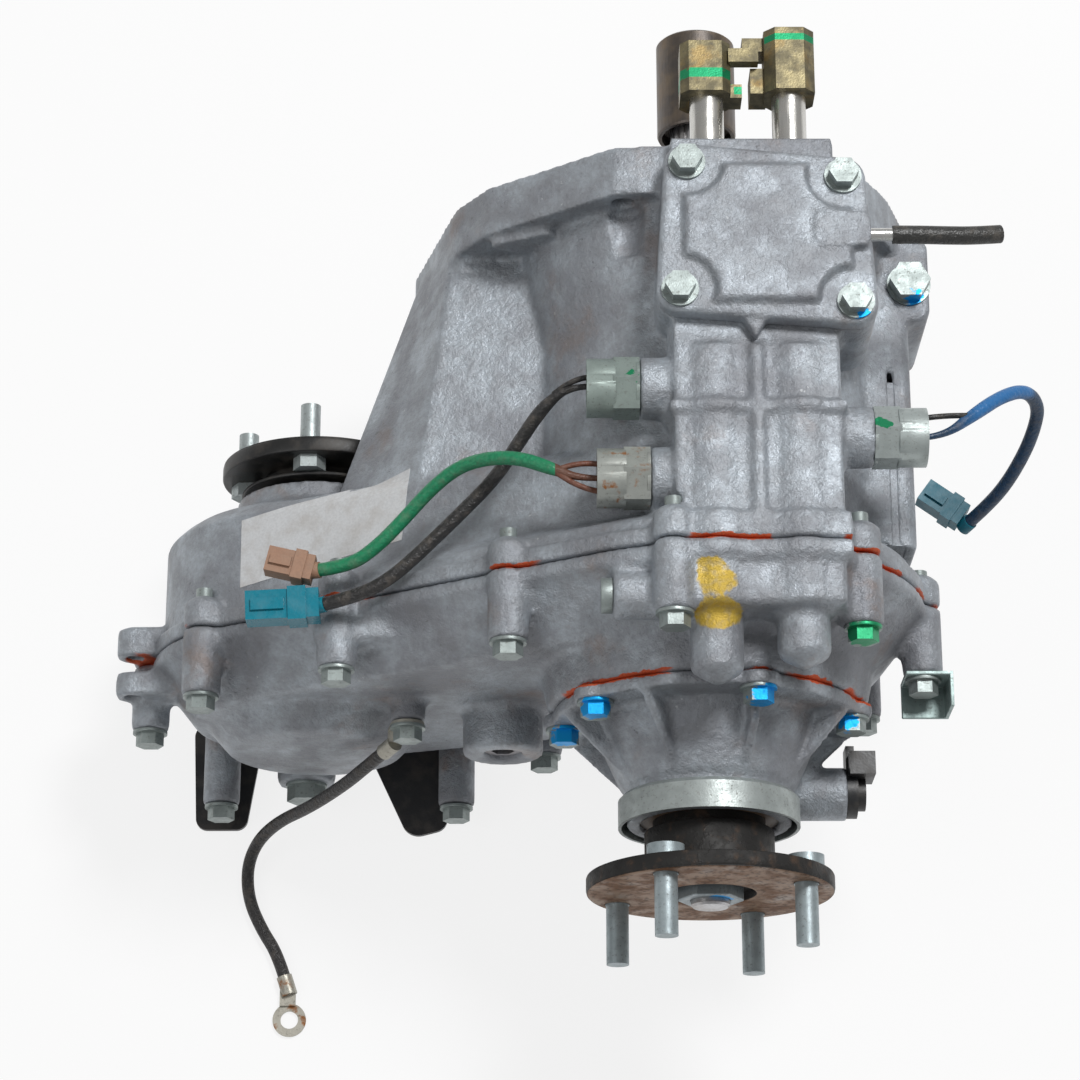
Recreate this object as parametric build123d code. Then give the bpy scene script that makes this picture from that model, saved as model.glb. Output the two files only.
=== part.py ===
from build123d import *
from math import acos, atan2, cos, degrees, hypot, pi, radians, sin, tan
import os

# Two-speed chain-driven transfer case, in millimetres.
# Main shaft line: x = 0, z = 0. The gearbox face is y = 0, forward is +Y and up is +Z.

# Stations along the main shaft line
web_front_y = -56.0
cavity_y = -84.0
chain_front_y = -134.0
shoulder_y = -173.0
seam_y = -196.0
rear_wall_y = -228.0
extension_y = -246.0
neck_y = -300.0
rear_flange_y = -332.0
front_flange_y = -91.0

# Housing sections
case_wall = 6.0
main_r = 98.0
rim_r = 97.0
bell_mouth_r = 82.0
bell_floor_r = 70.0
neck_r_front = 93.0
neck_r_middle = 81.0
neck_r_rear = 82.0
shoulder_r = 80.0
neck_middle_y = -76.0
edge_x = 116.0
edge_z = 18.0
edge_r = 3.0
edge_sweep = 0.137
wing_x = 123.5
wing_z = -26.0
wing_r = 9.0
wing_sweep = 0.34
rim_corner = (-101.0, 49.0)
rim_side = (-116.3, 26.0)
rim_low = (-136.5, -55.0)
ledge_pad = 4.0
ledge_recess = 2.5
side_x = 93.0
side_z = 22.0
side_r = 5.5
main_cavity_r = 74.0
chain_case_r = 76.0
flange_band = 8.0
flange_lip = 5.0
slope_start = 10.0
slope_angle = 38.0

# Bell bolt circle
bell_pcd = 186.0
bell_bolt_count = 6
bell_bolt_start = 115.0
bell_hole_r = 5.25
blind_bolt = 1
blind_depth = 18.0
bell_lug_r = 11.5
rim_thickness = 24.0

# Shift tower
rod_r = 8.0
rod_z = 88.0
rod_spacing = 38.5
bulge_r = 20.0
tower_left = -18.0
tower_right = 57.0
tower_z = 105.0
tower_foot_z = 55.0
gallery_left = -13.0
gallery_right = 52.0
gallery_low = 62.0
gallery_high = 100.4
chamber_floor = 70.0
rib_width = 4.5
rib_height = 2.5

# Top cover
cover_z = 104.0
cover_edge = 9.0
cover_pad = 4.0
cover_corner_r = 10.5
cover_notch_r = 16.5
cover_bolts_at = [(-11.0, -17.0), (60.0, -24.0), (64.0, -86.0), (-15.0, -80.0)]
cover_rear_y = -96.0

# Chain drive
chain_pitch = 9.525
chain_links = 80
sprocket_teeth = 36
chain_width = 24.0
chain_y = -177.0
chain_back = 4.5
tooth_depth = 5.0
front_drop = 25.3

# Planetary reduction
gear_module = 1.75
sun_teeth = 42
ring_teeth = 66
planet_count = 3
gear_y = -100.0
gear_width = 22.0

# Shift travels
range_travel = 12.0
drive_travel = 8.0

# Fits
running = 0.05
side_gap = 0.3

# Fasteners: shank radius, hex across flats, head height, flange radius
M8 = (4.0, 12.0, 7.5, 8.5)
M10 = (5.0, 14.0, 7.0, 8.5)
M12 = (6.0, 17.0, 9.0, 10.5)

# Derived places
rod_places = [(0.0, rod_z), (rod_spacing, rod_z)]
centre_distance = chain_pitch * (chain_links - sprocket_teeth) / 2
front_x = -centre_distance * cos(radians(front_drop))
front_z = -centre_distance * sin(radians(front_drop))
planet_teeth = (ring_teeth - sun_teeth) // 2
planet_orbit = gear_module * (sun_teeth + planet_teeth) / 2
sprocket_pitch_r = chain_pitch / (2 * sin(pi / sprocket_teeth))


def at_y(y):
    """Plane across the shafts, with local x along +X and local y along +Z."""
    return Plane.XZ.offset(-y)


def along_y(sketch, y_front, y_rear):
    return extrude(at_y(y_front) * sketch, amount=y_front - y_rear)


def disc(radius, x=0.0, z=0.0):
    return Pos(x, z) * Circle(radius)


def bar(radius, y_front, y_rear, x=0.0, z=0.0):
    return along_y(disc(radius, x, z), y_front, y_rear)


def tube(outer, inner, y_front, y_rear, x=0.0, z=0.0):
    return along_y(disc(outer, x, z) - disc(inner, x, z), y_front, y_rear)


def turned(profile, x=0.0, z=0.0):
    """Solid of revolution about a line along Y, from (radius, y) points."""
    return Pos(x, 0, z) * revolve(Polygon(*profile, align=None), Axis.Y)


def block(x0, x1, y0, y1, z0, z1):
    middle = Pos((x0 + x1) / 2, (y0 + y1) / 2, (z0 + z1) / 2)
    return middle * Box(abs(x1 - x0), abs(y1 - y0), abs(z1 - z0))


def panel(x0, x1, z0, z1):
    return Pos((x0 + x1) / 2, (z0 + z1) / 2) * Rectangle(x1 - x0, z1 - z0)


def wrap(*sketches):
    edges = ShapeList()
    for sketch in sketches:
        edges += sketch.edges()
    return make_hull(edges)


def side_bar(radius, x0, x1, y, z):
    """Round bar along X."""
    return Pos((x0 + x1) / 2, y, z) * Rot(0, 90, 0) * Cylinder(radius, abs(x1 - x0))


def polar(radius, angle, x=0.0, z=0.0):
    return x + radius * cos(radians(angle)), z + radius * sin(radians(angle))


# Where the seam outline runs

axis_angle = 180 + front_drop
tangent_angle = degrees(acos((main_r - chain_case_r) / centre_distance))


def side_point(side, share, outward):
    """Point on the straight upper (+1) or lower (-1) side of the chain case outline."""
    angle = axis_angle - side * tangent_angle
    start = polar(main_r + outward, angle)
    end = polar(chain_case_r + outward, angle, front_x, front_z)
    return tuple(a + (b - a) * share for a, b in zip(start, end))


seam_bolt_out = 6.0
seam_bolts = [
    polar(chain_case_r + seam_bolt_out, 181, front_x, front_z),
    polar(chain_case_r + seam_bolt_out - 2, 129, front_x, front_z),
    polar(chain_case_r + seam_bolt_out + 3, 232, front_x, front_z),
    side_point(1, 0.665, seam_bolt_out),
    side_point(1, 0.23, seam_bolt_out - 5),
    side_point(-1, 0.80, seam_bolt_out + 6),
    side_point(-1, 0.56, seam_bolt_out),
    polar(main_r + seam_bolt_out, 100.5),
    polar(main_r + seam_bolt_out, 51.0),
    polar(main_r + seam_bolt_out - 3, 2.5),
    polar(main_r + seam_bolt_out, -40.0),
    polar(main_r + seam_bolt_out, -80.0),
]
boss_r = 9.5
boss_length = 33.0
long_boss = 54.0
front_boss = 12.0
front_hole = 22.0
seam_boss_lengths = [boss_length] * len(seam_bolts)
seam_boss_lengths[2] = long_boss
seam_boss_lengths[5] = long_boss

bracket_bolt = 9
bracket_sheet = 1.8
ground_boss = side_point(1, 0.68, -58.8)
ground_boss_y = -239.0

bell_bolts = [
    polar(bell_pcd / 2, bell_bolt_start - 360 / bell_bolt_count * i)
    for i in range(bell_bolt_count)
]

extension_bolt_r = 67.0
extension_bolt_angles = [142, 73, 12, -50, -115, 185]
extension_bolts = [polar(extension_bolt_r, angle) for angle in extension_bolt_angles]
extension_r = 72.0
extension_flange = 6.0

switch_r = 14.0
switch_z = rod_z
switch_nose_r = 7.0
switches = {
    "low_range_switch": (-1, -118.0, -33.0),
    "neutral_switch": (-1, -161.5, -28.5),
    "front_drive_switch": (1, -142.0, 72.0),
}

detent_y = -217.0
detent_r = 4.5
detent_plug_r = 8.0
detent_boss_r = 11.0
detent_left = -46.0


def slot_outline(outward=0.0, barrel_r=main_r):
    """Outline of the casing at the seam, without the tower."""
    return wrap(
        disc(barrel_r + outward),
        disc(chain_case_r + outward, front_x, front_z),
    )


def tower_outline(outward=0.0):
    shape = panel(tower_left - outward, tower_right + outward, tower_foot_z, tower_z + outward)
    for x, z in rod_places:
        shape += disc(bulge_r + outward, x, z)
    return shape


def gallery(y_front, y_rear):
    return along_y(panel(gallery_left, gallery_right, gallery_low, gallery_high), y_front, y_rear)


# Front case


def neck_wing(y, inset=0.0):
    """Left side of the neck: a ledge with a sharp edge, swept out to the front output."""
    edge = disc(edge_r, -edge_x + edge_sweep * y + inset, edge_z - inset)
    wing = disc(wing_r, -wing_x + wing_sweep * y + inset, wing_z)
    return at_y(y) * wrap(edge, wing, disc(32 - inset, -40, 0))


def neck_side(y, inset=0.0):
    """Right side of the neck, a flat wall."""
    upper = disc(side_r, side_x - inset, side_z)
    lower = disc(side_r, side_x - inset, -side_z)
    return at_y(y) * wrap(upper, lower, disc(40 - inset, 30, 0))


def bell_rim():
    lugs = [disc(bell_lug_r, x, z) for x, z in bell_bolts]
    corners = [disc(edge_r, *rim_corner), disc(edge_r, *rim_side), disc(edge_r + 2, *rim_low)]
    return wrap(disc(rim_r), *corners, *lugs)


def neck_spans():
    """The neck narrows to its middle and widens again towards the chain case."""
    y_front = -rim_thickness / 2
    y_rear = chain_front_y - 6
    stations = [(y_front, neck_r_front), (neck_middle_y, neck_r_middle), (y_rear, neck_r_rear)]
    rings = [at_y(y) * disc(r) for y, r in stations]
    spans = [loft(rings[:2], ruled=True), loft(rings[1:], ruled=True)]
    spans.append(loft([neck_wing(y_front), neck_wing(y_rear)], ruled=True))
    spans.append(loft([neck_side(y_front), neck_side(shoulder_y)], ruled=True))
    return spans


def neck_rooms():
    """Hollows of the neck's left ledge and right wall."""
    wing = loft([neck_wing(cavity_y, case_wall), neck_wing(chain_front_y - 7, case_wall)], ruled=True)
    side = loft([neck_side(cavity_y, case_wall), neck_side(shoulder_y, case_wall)], ruled=True)
    return wing + side


def front_shell():
    chain_box = along_y(slot_outline(0, shoulder_r), chain_front_y, shoulder_y)
    front_edges = chain_box.faces().filter_by(Axis.Y).sort_by(Axis.Y)[-1].edges()
    shoulder = [at_y(shoulder_y) * slot_outline(0, shoulder_r), at_y(shoulder_y - 9) * slot_outline()]
    shell = along_y(bell_rim(), 0, -rim_thickness) + chamfer(front_edges, 6.0)
    shell += loft(shoulder, ruled=True)
    shell += along_y(slot_outline(), shoulder_y - 9, seam_y)
    for span in neck_spans():
        shell += span
    shell += along_y(tower_outline(), cover_rear_y + 4, seam_y)
    shell += along_y(panel(tower_left, tower_right, tower_foot_z, cover_z), 0, cover_rear_y)
    shell += cover_seat()
    front_boss_profile = [
        (0, chain_front_y - 4),
        (74, chain_front_y - 4),
        (66, -131),
        (50, -126),
        (42, -120),
        (42, -112),
        (0, -112),
    ]
    shell += turned(front_boss_profile, front_x, front_z)
    return shell + along_y(seam_band(), seam_y + flange_band, seam_y)


def seam_band():
    return slot_outline(flange_lip) + tower_outline(flange_lip - 2)


def cover_plan(margin=0.0):
    """Plan of the cover and its seat, wrapped round the four bolts."""
    return wrap(*[Pos(x, y) * Circle(cover_corner_r - margin) for x, y in cover_bolts_at])


def cover_seat():
    """Walls of the shift chamber that carry the top cover."""
    return Pos(0, 0, tower_foot_z) * extrude(cover_plan(), amount=cover_z - tower_foot_z)


def chamber():
    """Shift chamber below the cover, open at the top."""
    room = Pos(24.5, -52) * fillet(Rectangle(70, 60).vertices(), 8.0)
    for x, y in cover_bolts_at:
        room -= Pos(x, y) * Circle(M8[0] + 3.5)
    return Pos(0, 0, chamber_floor) * extrude(room, amount=cover_z - chamber_floor)


def front_ribs():
    """Raised ribs on the tower top, and bosses for the switches, bolts and side bolt."""
    ridge_x = rod_spacing / 2
    ridge = (ridge_x - rib_width / 2, ridge_x + rib_width / 2)
    ribs = block(*ridge, cover_rear_y - 8, seam_y, tower_z - 5, rod_z + bulge_r)
    ribs += along_y(tower_outline(rib_height), -131, -131 - rib_width)
    ribs += along_y(tower_outline(rib_height), -184, seam_y)
    for side, y, seat in switches.values():
        start = 0 if side < 0 else rod_spacing
        ribs += side_bar(switch_r, seat, start, y, switch_z)
    end = seam_y + front_boss
    for x, z in seam_bolts:
        ribs += turned([(0, seam_y), (boss_r, seam_y), (boss_r, end), (5, end + 4), (0, end + 4)], x, z)
    ribs += ledge_block()
    ribs += side_bolt_pad()
    return ribs + seam_lug(seam_y + 15, seam_y)


def ledge_block():
    """Raised pad with a shallow recess at the front of the ledge, and the block above it on the rim."""
    top = edge_z + edge_r + ledge_pad
    pad = block(-edge_x - 1.5, -70, -13, -33, 0, top)
    pad = chamfer(pad.faces().sort_by(Axis.Z)[-1].edges(), 1.5)
    pad -= block(-102, -80, -17, -29.5, top - ledge_recess, top + 5)
    corner_x, corner_z = rim_corner
    upper = wrap(disc(3, corner_x + 3, corner_z - 2), disc(3, corner_x + 26, corner_z + 10), disc(6, -60, 30))
    return pad + along_y(upper, -2, -rim_thickness - 5)


side_bolt_x = 99.0
side_bolt_y = -40.0
side_bolt_z = 27.0


def side_bolt_pad():
    pad = Pos(side_bolt_x - 8, side_bolt_y + 4, side_bolt_z - 34) * Box(36, 44, 68)
    pad = fillet(pad.edges().filter_by(Axis.Z), 6.0)
    return pad & bar(main_r + 20, 0, seam_y)


def seam_lug(y_front, y_rear):
    """Side lug with a pin hole, in line on both casings."""
    lug_x, lug_z = polar(chain_case_r + 14, 172, front_x, front_z)
    lug = disc(9, lug_x, lug_z) + panel(lug_x, lug_x + 20, lug_z - 9, lug_z + 9)
    return along_y(lug - disc(4.2, lug_x, lug_z), y_front, y_rear)


input_seal_r = 27.0
input_race_r = 36.0
ring_outer_r = gear_module * ring_teeth / 2 + 8.0
output_race_r = 31.0


def front_case():
    shell = front_shell() + front_ribs()
    shell -= bell_cavity()
    shell -= neck_rooms()
    shell -= bar(main_cavity_r, cavity_y, shoulder_y)
    shell -= along_y(slot_outline(-case_wall, shoulder_r), chain_front_y - case_wall, shoulder_y)
    shell -= along_y(slot_outline(-case_wall), shoulder_y - 7, seam_y)
    room_ends = [at_y(shoulder_y) * slot_outline(-case_wall, shoulder_r)]
    room_ends.append(at_y(shoulder_y - 7) * slot_outline(-case_wall))
    shell -= loft(room_ends, ruled=True)
    shell -= chamber()
    shell -= gallery(cover_rear_y + 30, seam_y)
    shell += tube(ring_outer_r + case_wall, ring_outer_r, cavity_y, gear_y - gear_width / 2)
    shell += front_bearing_boss()
    shell -= bar(input_seal_r, web_front_y, -66)
    shell -= bar(input_race_r, -66, cavity_y)
    for x, z in rod_places:
        shell -= bar(rod_r + running, 0, -50, x, z)
    for i, (x, z) in enumerate(bell_bolts):
        if i == blind_bolt:
            shell -= bar(bell_hole_r, 0, -blind_depth, x, z)
        else:
            shell -= bar(bell_hole_r, 0, -rim_thickness, x, z)
            shell -= bar(10, -rim_thickness, -rim_thickness - 24, x, z)
    for x, z in seam_bolts:
        shell -= bar(M8[0], seam_y + front_hole, seam_y, x, z)
    for side, y, seat in switches.values():
        inner = gallery_left if side < 0 else gallery_right
        shell -= side_bar(switch_nose_r, seat, inner, y, switch_z)
        shell -= side_bar(switch_r + 1, seat, seat + side * 28, y, switch_z)
    shell -= bar(output_race_r, -111, chain_front_y - case_wall, front_x, front_z)
    shell -= Pos(side_bolt_x, side_bolt_y, side_bolt_z - 10) * Cylinder(M12[0], 20)
    shell -= Pos(side_bolt_x, side_bolt_y, side_bolt_z + 6) * Cylinder(M12[3] + 1, 12)
    shell -= block(-60, 110, cover_rear_y - 7, 5, cover_z, cover_z + 20)
    for x, y in cover_bolts_at:
        shell -= Pos(x, y, cover_z - 3.5) * Cylinder(M8[0], 7)
    return shell


def bell_cavity():
    """Tapered mouth that takes the gearbox tail, stopped short below the shift rods."""
    cone = turned([(0, 0), (bell_mouth_r, 0), (bell_floor_r, web_front_y), (0, web_front_y)])
    return cone - block(-60, 110, web_front_y, 0, chamber_floor - 8, 120)


def front_bearing_boss():
    outer = output_race_r + case_wall
    return tube(outer, output_race_r, -118, chain_front_y - case_wall - 1, front_x, front_z)


def top_cover():
    """Cast cover with a raised pad, stepped corners and a side boss for the breather."""
    body = extrude(cover_plan(), amount=cover_edge)
    body = chamfer(body.faces().sort_by(Axis.Z)[-1].edges(), 1.5)
    pad = Pos(25.2, -52.2) * fillet(Rectangle(76.0, 68.0).vertices(), 4.0)
    for x, y in cover_bolts_at:
        pad -= Pos(x, y) * Circle(cover_notch_r)
    raised = extrude(pad, amount=cover_edge + cover_pad)
    body += chamfer(raised.faces().sort_by(Axis.Z)[-1].edges(), 2.0)
    boss = Pos(cover_boss_end - 12.5, nipple_y) * fillet(Rectangle(25, 17).vertices(), 4.0)
    body += extrude(boss, amount=cover_edge + 5)
    tab = Polygon((12, cover_rear_y + 6), (19, cover_rear_y - 6), (26, cover_rear_y + 6), align=None)
    body += extrude(tab, amount=cover_edge - 2)
    inside = Pos(24.5, -52) * fillet(Rectangle(54, 46).vertices(), 6.0)
    body -= extrude(inside, amount=cover_edge - 2)
    for x, y in cover_bolts_at:
        body -= Pos(x, y, cover_edge / 2) * Cylinder(M8[0] + 0.4, 2 * cover_edge)
    body = Pos(0, 0, cover_z) * body
    return body - side_bar(nipple_r, cover_boss_end - 9, cover_boss_end + 1, nipple_y, nipple_z)


nipple_r = 3.0
cover_boss_end = 71.5
nipple_end = 82.0
nipple_y = -51.7
nipple_z = cover_z + 6.0


# Rear case


def rear_slope(outline_r_main, outline_r_chain, y, depth, angle):
    outline = wrap(disc(outline_r_main), disc(outline_r_chain, front_x, front_z))
    return extrude(at_y(y) * outline, amount=depth, taper=angle)


dome_r = 12.0
dome_ends = [-252.0, -245.0]
dome_tip = 7.0
front_bulge_r = 50.0
filler_x = -96.0
filler_z = -60.0
filler_y = -250.0
filler_r = 19.5
drain_x = -198.0
drain_z = front_z - chain_case_r + 13.55
drain_y = -240.0


def rear_shell():
    slope_y = seam_y - slope_start
    shell = along_y(slot_outline(), seam_y, slope_y)
    shell += rear_slope(main_r, chain_case_r, slope_y, slope_y - rear_wall_y, slope_angle)
    shell += along_y(seam_band(), seam_y, seam_y - flange_band)
    shell += along_y(tower_outline(), seam_y, rear_wall_y + 2)
    shell += turned(
        [(0, rear_wall_y + 8), (80, rear_wall_y + 8), (extension_r + 2, extension_y), (0, extension_y)]
    )
    shell += turned(
        [
            (0, rear_wall_y + 6),
            (front_bulge_r + 6, rear_wall_y + 6),
            (front_bulge_r, rear_wall_y - 4),
            (front_bulge_r - 8, rear_wall_y - 13),
            (0, rear_wall_y - 16),
        ],
        front_x,
        front_z,
    )
    for (x, z), end in zip(rod_places, dome_ends):
        shell += turned([(0, seam_y - 12), (dome_r, seam_y - 12), (dome_r, end), (0, end - dome_tip)], x, z)
    return shell


def rear_bosses():
    bosses = seam_lug(seam_y - 8, seam_y - 20)
    for (x, z), length in zip(seam_bolts, seam_boss_lengths):
        bosses += bar(boss_r, seam_y, seam_y - length, x, z)
    x, z = ground_boss
    bosses += bar(8.5, seam_y - 14, ground_boss_y, x, z)
    bosses += bar(filler_r, seam_y - 20, filler_y, filler_x, filler_z)
    bosses += bar(15, rear_wall_y + 12, drain_y, drain_x, drain_z)
    bosses += side_bar(detent_boss_r, detent_left, 0, detent_y, rod_z)
    pad_x, pad_z = side_point(1, 0.62, 6)
    bosses += block(pad_x - 19, pad_x + 19, seam_y - 8, seam_y - 20, pad_z - 24, pad_z)
    return bosses


rear_race_r = 40.0
fork_room_y = -205.0


def rear_case():
    inner_depth = seam_y - (rear_wall_y + case_wall)
    shell = rear_shell() + rear_bosses()
    room = wrap(disc(main_r - case_wall), disc(chain_case_r - case_wall, front_x, front_z))
    hollow = along_y(room, seam_y, seam_y - slope_start) + rear_slope(
        main_r - case_wall,
        chain_case_r - case_wall,
        seam_y - slope_start,
        inner_depth - slope_start,
        slope_angle,
    )
    shell -= hollow
    shell -= gallery(seam_y, fork_room_y)
    pocket = panel(rod_spacing - 18, gallery_right, gallery_low, gallery_high)
    shell -= along_y(pocket, fork_room_y, fork_room_y - 9.5)
    shell += tube(rear_race_r + case_wall, rear_race_r, rear_wall_y + 8, extension_y)
    shell += tube(output_race_r + case_wall, output_race_r, -206, rear_wall_y + 4, front_x, front_z)
    shell -= bar(rear_race_r, rear_wall_y + 8, extension_y)
    shell -= bar(output_race_r, -206, -224, front_x, front_z)
    for (x, z), end in zip(rod_places, dome_ends):
        shell -= bar(rod_r + running, fork_room_y + 1, end + 3, x, z)
    for (x, z), length in zip(seam_bolts, seam_boss_lengths):
        shell -= bar(M8[0] + 0.4, seam_y, seam_y - length, x, z)
    x, z = ground_boss
    shell -= bar(M8[0], ground_boss_y + 18, ground_boss_y, x, z)
    shell -= bar(9.0, rear_wall_y - 2, filler_y, filler_x, filler_z)
    shell -= bar(M12[0], drain_y + 12, drain_y, drain_x, drain_z)
    shell -= bar(M12[3] + 1, drain_y, drain_y - 12, drain_x, drain_z)
    shell -= side_bar(detent_r, detent_left, -rod_r, detent_y, rod_z)
    shell -= side_bar(detent_plug_r + 0.3, detent_left, detent_left - 8, detent_y, rod_z)
    for x, z in extension_bolts:
        shell -= bar(M8[0], extension_y + 14, extension_y, x, z)
    return shell


# Rear extension housing

neck_r = 38.0
rib_count = 8
rib_start = 15.0
rear_seal_r = 32.0
rear_hub_r = 26.0


def extension_housing():
    """Cone with radial webs, a seal seat in its neck and a side boss for the speed sensor."""
    flange_back = extension_y - extension_flange
    body = bar(extension_r, extension_y, flange_back)
    for x, z in extension_bolts:
        body += bar(10.0, extension_y, flange_back, x, z)
    body += turned(
        [
            (0, extension_y),
            (56, extension_y),
            (54, flange_back),
            (neck_r + 3, -282),
            (neck_r, -285),
            (neck_r, neck_y),
            (0, neck_y),
        ]
    )
    web = Polygon(
        (neck_r - 4, flange_back + 2),
        (extension_r - 3, flange_back + 2),
        (extension_r - 3, flange_back - 2),
        (neck_r + 2, -282),
        (neck_r - 4, -282),
        align=None,
    )
    rib = Pos(0, 0, -2) * extrude(web, amount=4)
    for i in range(rib_count):
        body += Rot(0, rib_start + 360 / rib_count * i, 0) * rib
    body += side_bar(sensor_boss_r, 30, sensor_x, sensor_y, sensor_z)
    body -= turned(
        [
            (0, extension_y),
            (50, extension_y),
            (46, -256),
            (34, -268),
            (34, -284),
            (rear_hub_r + 1.5, -284),
            (rear_hub_r + 1.5, -288),
            (rear_seal_r, -288),
            (rear_seal_r, neck_y),
            (0, neck_y),
        ]
    )
    body -= side_bar(8, 20, sensor_x, sensor_y, sensor_z)
    body -= tube(44, neck_r, -285.5, neck_y)
    for x, z in extension_bolts:
        body -= bar(M8[0] + 0.4, extension_y, flange_back, x, z)
        body -= bar(M8[3] + 0.5, flange_back, flange_back - 26, x, z)
    return body


sensor_x = 66.0
sensor_y = -278.0
sensor_z = -26.0
sensor_tip = 29.0
rotor_y = -273.0
sensor_boss_r = 12.5


def speed_sensor():
    """Pickup with a round flange, a connector shell and its clamp ear."""
    body = side_bar(7.95, sensor_tip, sensor_x, sensor_y, sensor_z)
    body += side_bar(11.5, sensor_x, sensor_x + 5, sensor_y, sensor_z)
    body += side_bar(8, sensor_x + 5, sensor_x + 9, sensor_y, sensor_z)
    body += block(sensor_x, sensor_x + 4, sensor_y - 6, sensor_y + 22, sensor_z - 6, sensor_z + 6)
    body += block(sensor_x + 1, sensor_x + 13, sensor_y + 6, sensor_y + 17, sensor_z - 4, sensor_z + 16)
    return body


def dust_deflector():
    """Pressed steel ring on the neck, open to the rear."""
    rim = 42.0
    sheet = 1.5
    return turned(
        [
            (neck_r, -286.6),
            (rim - 2, -286.6),
            (rim, -288.6),
            (rim, -301),
            (rim - sheet, -301),
            (rim - sheet, -289),
            (rim - 3, -288.1),
            (neck_r, -288.1),
        ]
    )


# Fasteners


def hex_bolt(kind, length):
    """Flange bolt along +Z with its seat at z = 0 and its shank below."""
    shank_r, flats, head, flange_r = kind
    bolt = Pos(0, 0, -length / 2) * Cylinder(shank_r, length)
    bolt += Pos(0, 0, 0.75) * Cylinder(flange_r, 1.5)
    bolt += extrude(RegularPolygon(flats / 2, 6, major_radius=False), amount=head)
    return bolt


def rearward(bolt, x, y, z):
    return Pos(x, y, z) * Rot(90, 0, 0) * bolt


def bolt_group(bolts):
    return Compound(children=bolts)


def cover_bolts():
    top = cover_z + cover_edge
    return bolt_group([Pos(x, y, top) * hex_bolt(M8, 16) for x, y in cover_bolts_at])


def case_bolts():
    bolts = []
    for i, ((x, z), length) in enumerate(zip(seam_bolts, seam_boss_lengths)):
        lift = bracket_sheet if i == bracket_bolt else 0
        bolts.append(rearward(hex_bolt(M8, length + 20), x, seam_y - length - lift, z))
    return bolt_group(bolts)


def extension_bolt_set():
    seat = extension_y - extension_flange
    return bolt_group([rearward(hex_bolt(M8, 20), x, seat, z) for x, z in extension_bolts])


# Bearings and seals


def outer_race(outer, width, y_front, x=0.0, z=0.0):
    inner = outer - 5
    return tube(outer, inner, y_front, y_front - width, x, z)


race_thickness = 5.0


def bearing_outer_races():
    return Compound(
        children=[
            outer_race(input_race_r, 16, -67),
            outer_race(rear_race_r, 18, -226),
            outer_race(output_race_r, 15, -123, front_x, front_z),
            outer_race(output_race_r, 15, -208, front_x, front_z),
        ]
    )


def seal(outer, shaft_r, y_front, y_rear, x=0.0, z=0.0):
    return tube(outer, shaft_r + running, y_front, y_rear, x, z)


# Gears


def tooth_ring(teeth, root, tip, root_share, tip_share, turn=0.0):
    """Closed outline of straight-flanked teeth; shares are parts of one pitch angle."""
    pitch = 360 / teeth
    points = []
    for i in range(teeth):
        centre = turn + i * pitch
        for radius, share in ((root, -root_share), (tip, -tip_share), (tip, tip_share), (root, root_share)):
            points.append(polar(radius, centre + share * pitch / 2))
    return Polygon(*points, align=None)


pitch_sun = gear_module * sun_teeth / 2
pitch_ring = gear_module * ring_teeth / 2
pitch_planet = gear_module * planet_teeth / 2


def sun_outline():
    return tooth_ring(sun_teeth, pitch_sun - 1.2 * gear_module, pitch_sun + 0.8 * gear_module, 0.62, 0.22)


def planet_outline(turn):
    low = pitch_planet - 1.2 * gear_module
    high = pitch_planet + 0.8 * gear_module
    return tooth_ring(planet_teeth, low, high, 0.62, 0.20, turn)


def ring_outline():
    low = pitch_ring - 0.8 * gear_module
    high = pitch_ring + 1.2 * gear_module
    return tooth_ring(ring_teeth, high, low, 0.56, 0.24)


def planet_phase(angle):
    """Turn that sets a planet's tooth spaces on the sun's teeth at this orbit angle."""
    offset = angle * sun_teeth / 360
    return angle + 180 + 180 / planet_teeth + (offset % 1) * 360 / planet_teeth


planet_angles = [90 + 360 / planet_count * i for i in range(planet_count)]
gear_front = gear_y + gear_width / 2
gear_rear = gear_y - gear_width / 2
pin_r = 4.0


def input_shaft():
    shaft = along_y(tooth_ring(20, 11.8, 13.2, 0.55, 0.45), 79, 2)
    shaft += bar(12.5, 2, -30)
    shaft += turned([(0, -28), (15, -28), (15, -66), (18, -66), (18, -88), (0, -88)])
    shaft += tube(input_race_r - race_thickness - 5, 18, -67, -83)
    shaft += along_y(sun_outline(), gear_front, gear_rear)
    shaft += turned([(0, -88), (19, -88), (19, -124), (24, -124), (24, -130), (0, -130)])
    shaft -= bar(pilot_r + running, -100, -130)
    return shaft


pilot_r = 10.0
sleeve_bore_r = 13.3
coupling_bore_r = 14.0


def input_sleeve():
    """Coupling sleeve: its rear bore grips the shaft's nose, its front bore takes the gearbox shaft."""
    return turned(
        [
            (17.2, 52),
            (19.0, 52),
            (19.5, 53),
            (19.5, 102),
            (18.5, 103),
            (coupling_bore_r, 103),
            (coupling_bore_r, 80),
            (sleeve_bore_r, 80),
            (sleeve_bore_r, 60),
            (17.2, 58),
        ]
    )


def ring_gear():
    blank = disc(ring_outer_r) - ring_outline()
    return along_y(blank, gear_front - 0.5, gear_rear + 0.5)


def planet_carrier():
    plate = along_y(disc(pitch_ring - 3) - disc(33), gear_rear - 2, gear_rear - 10)
    for angle in planet_angles:
        x, z = polar(planet_orbit, angle)
        plate += bar(pin_r, gear_front, gear_rear - 4, x, z)
    return plate


def planet_gear(angle):
    x, z = polar(planet_orbit, angle)
    outline = Pos(x, z) * (planet_outline(planet_phase(angle)) - Circle(pin_r + running))
    return along_y(outline, gear_front - 1, gear_rear + 1)


hub_r = 24.0
drive_hub_r = 30.0
rotor_r = 29.0


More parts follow.
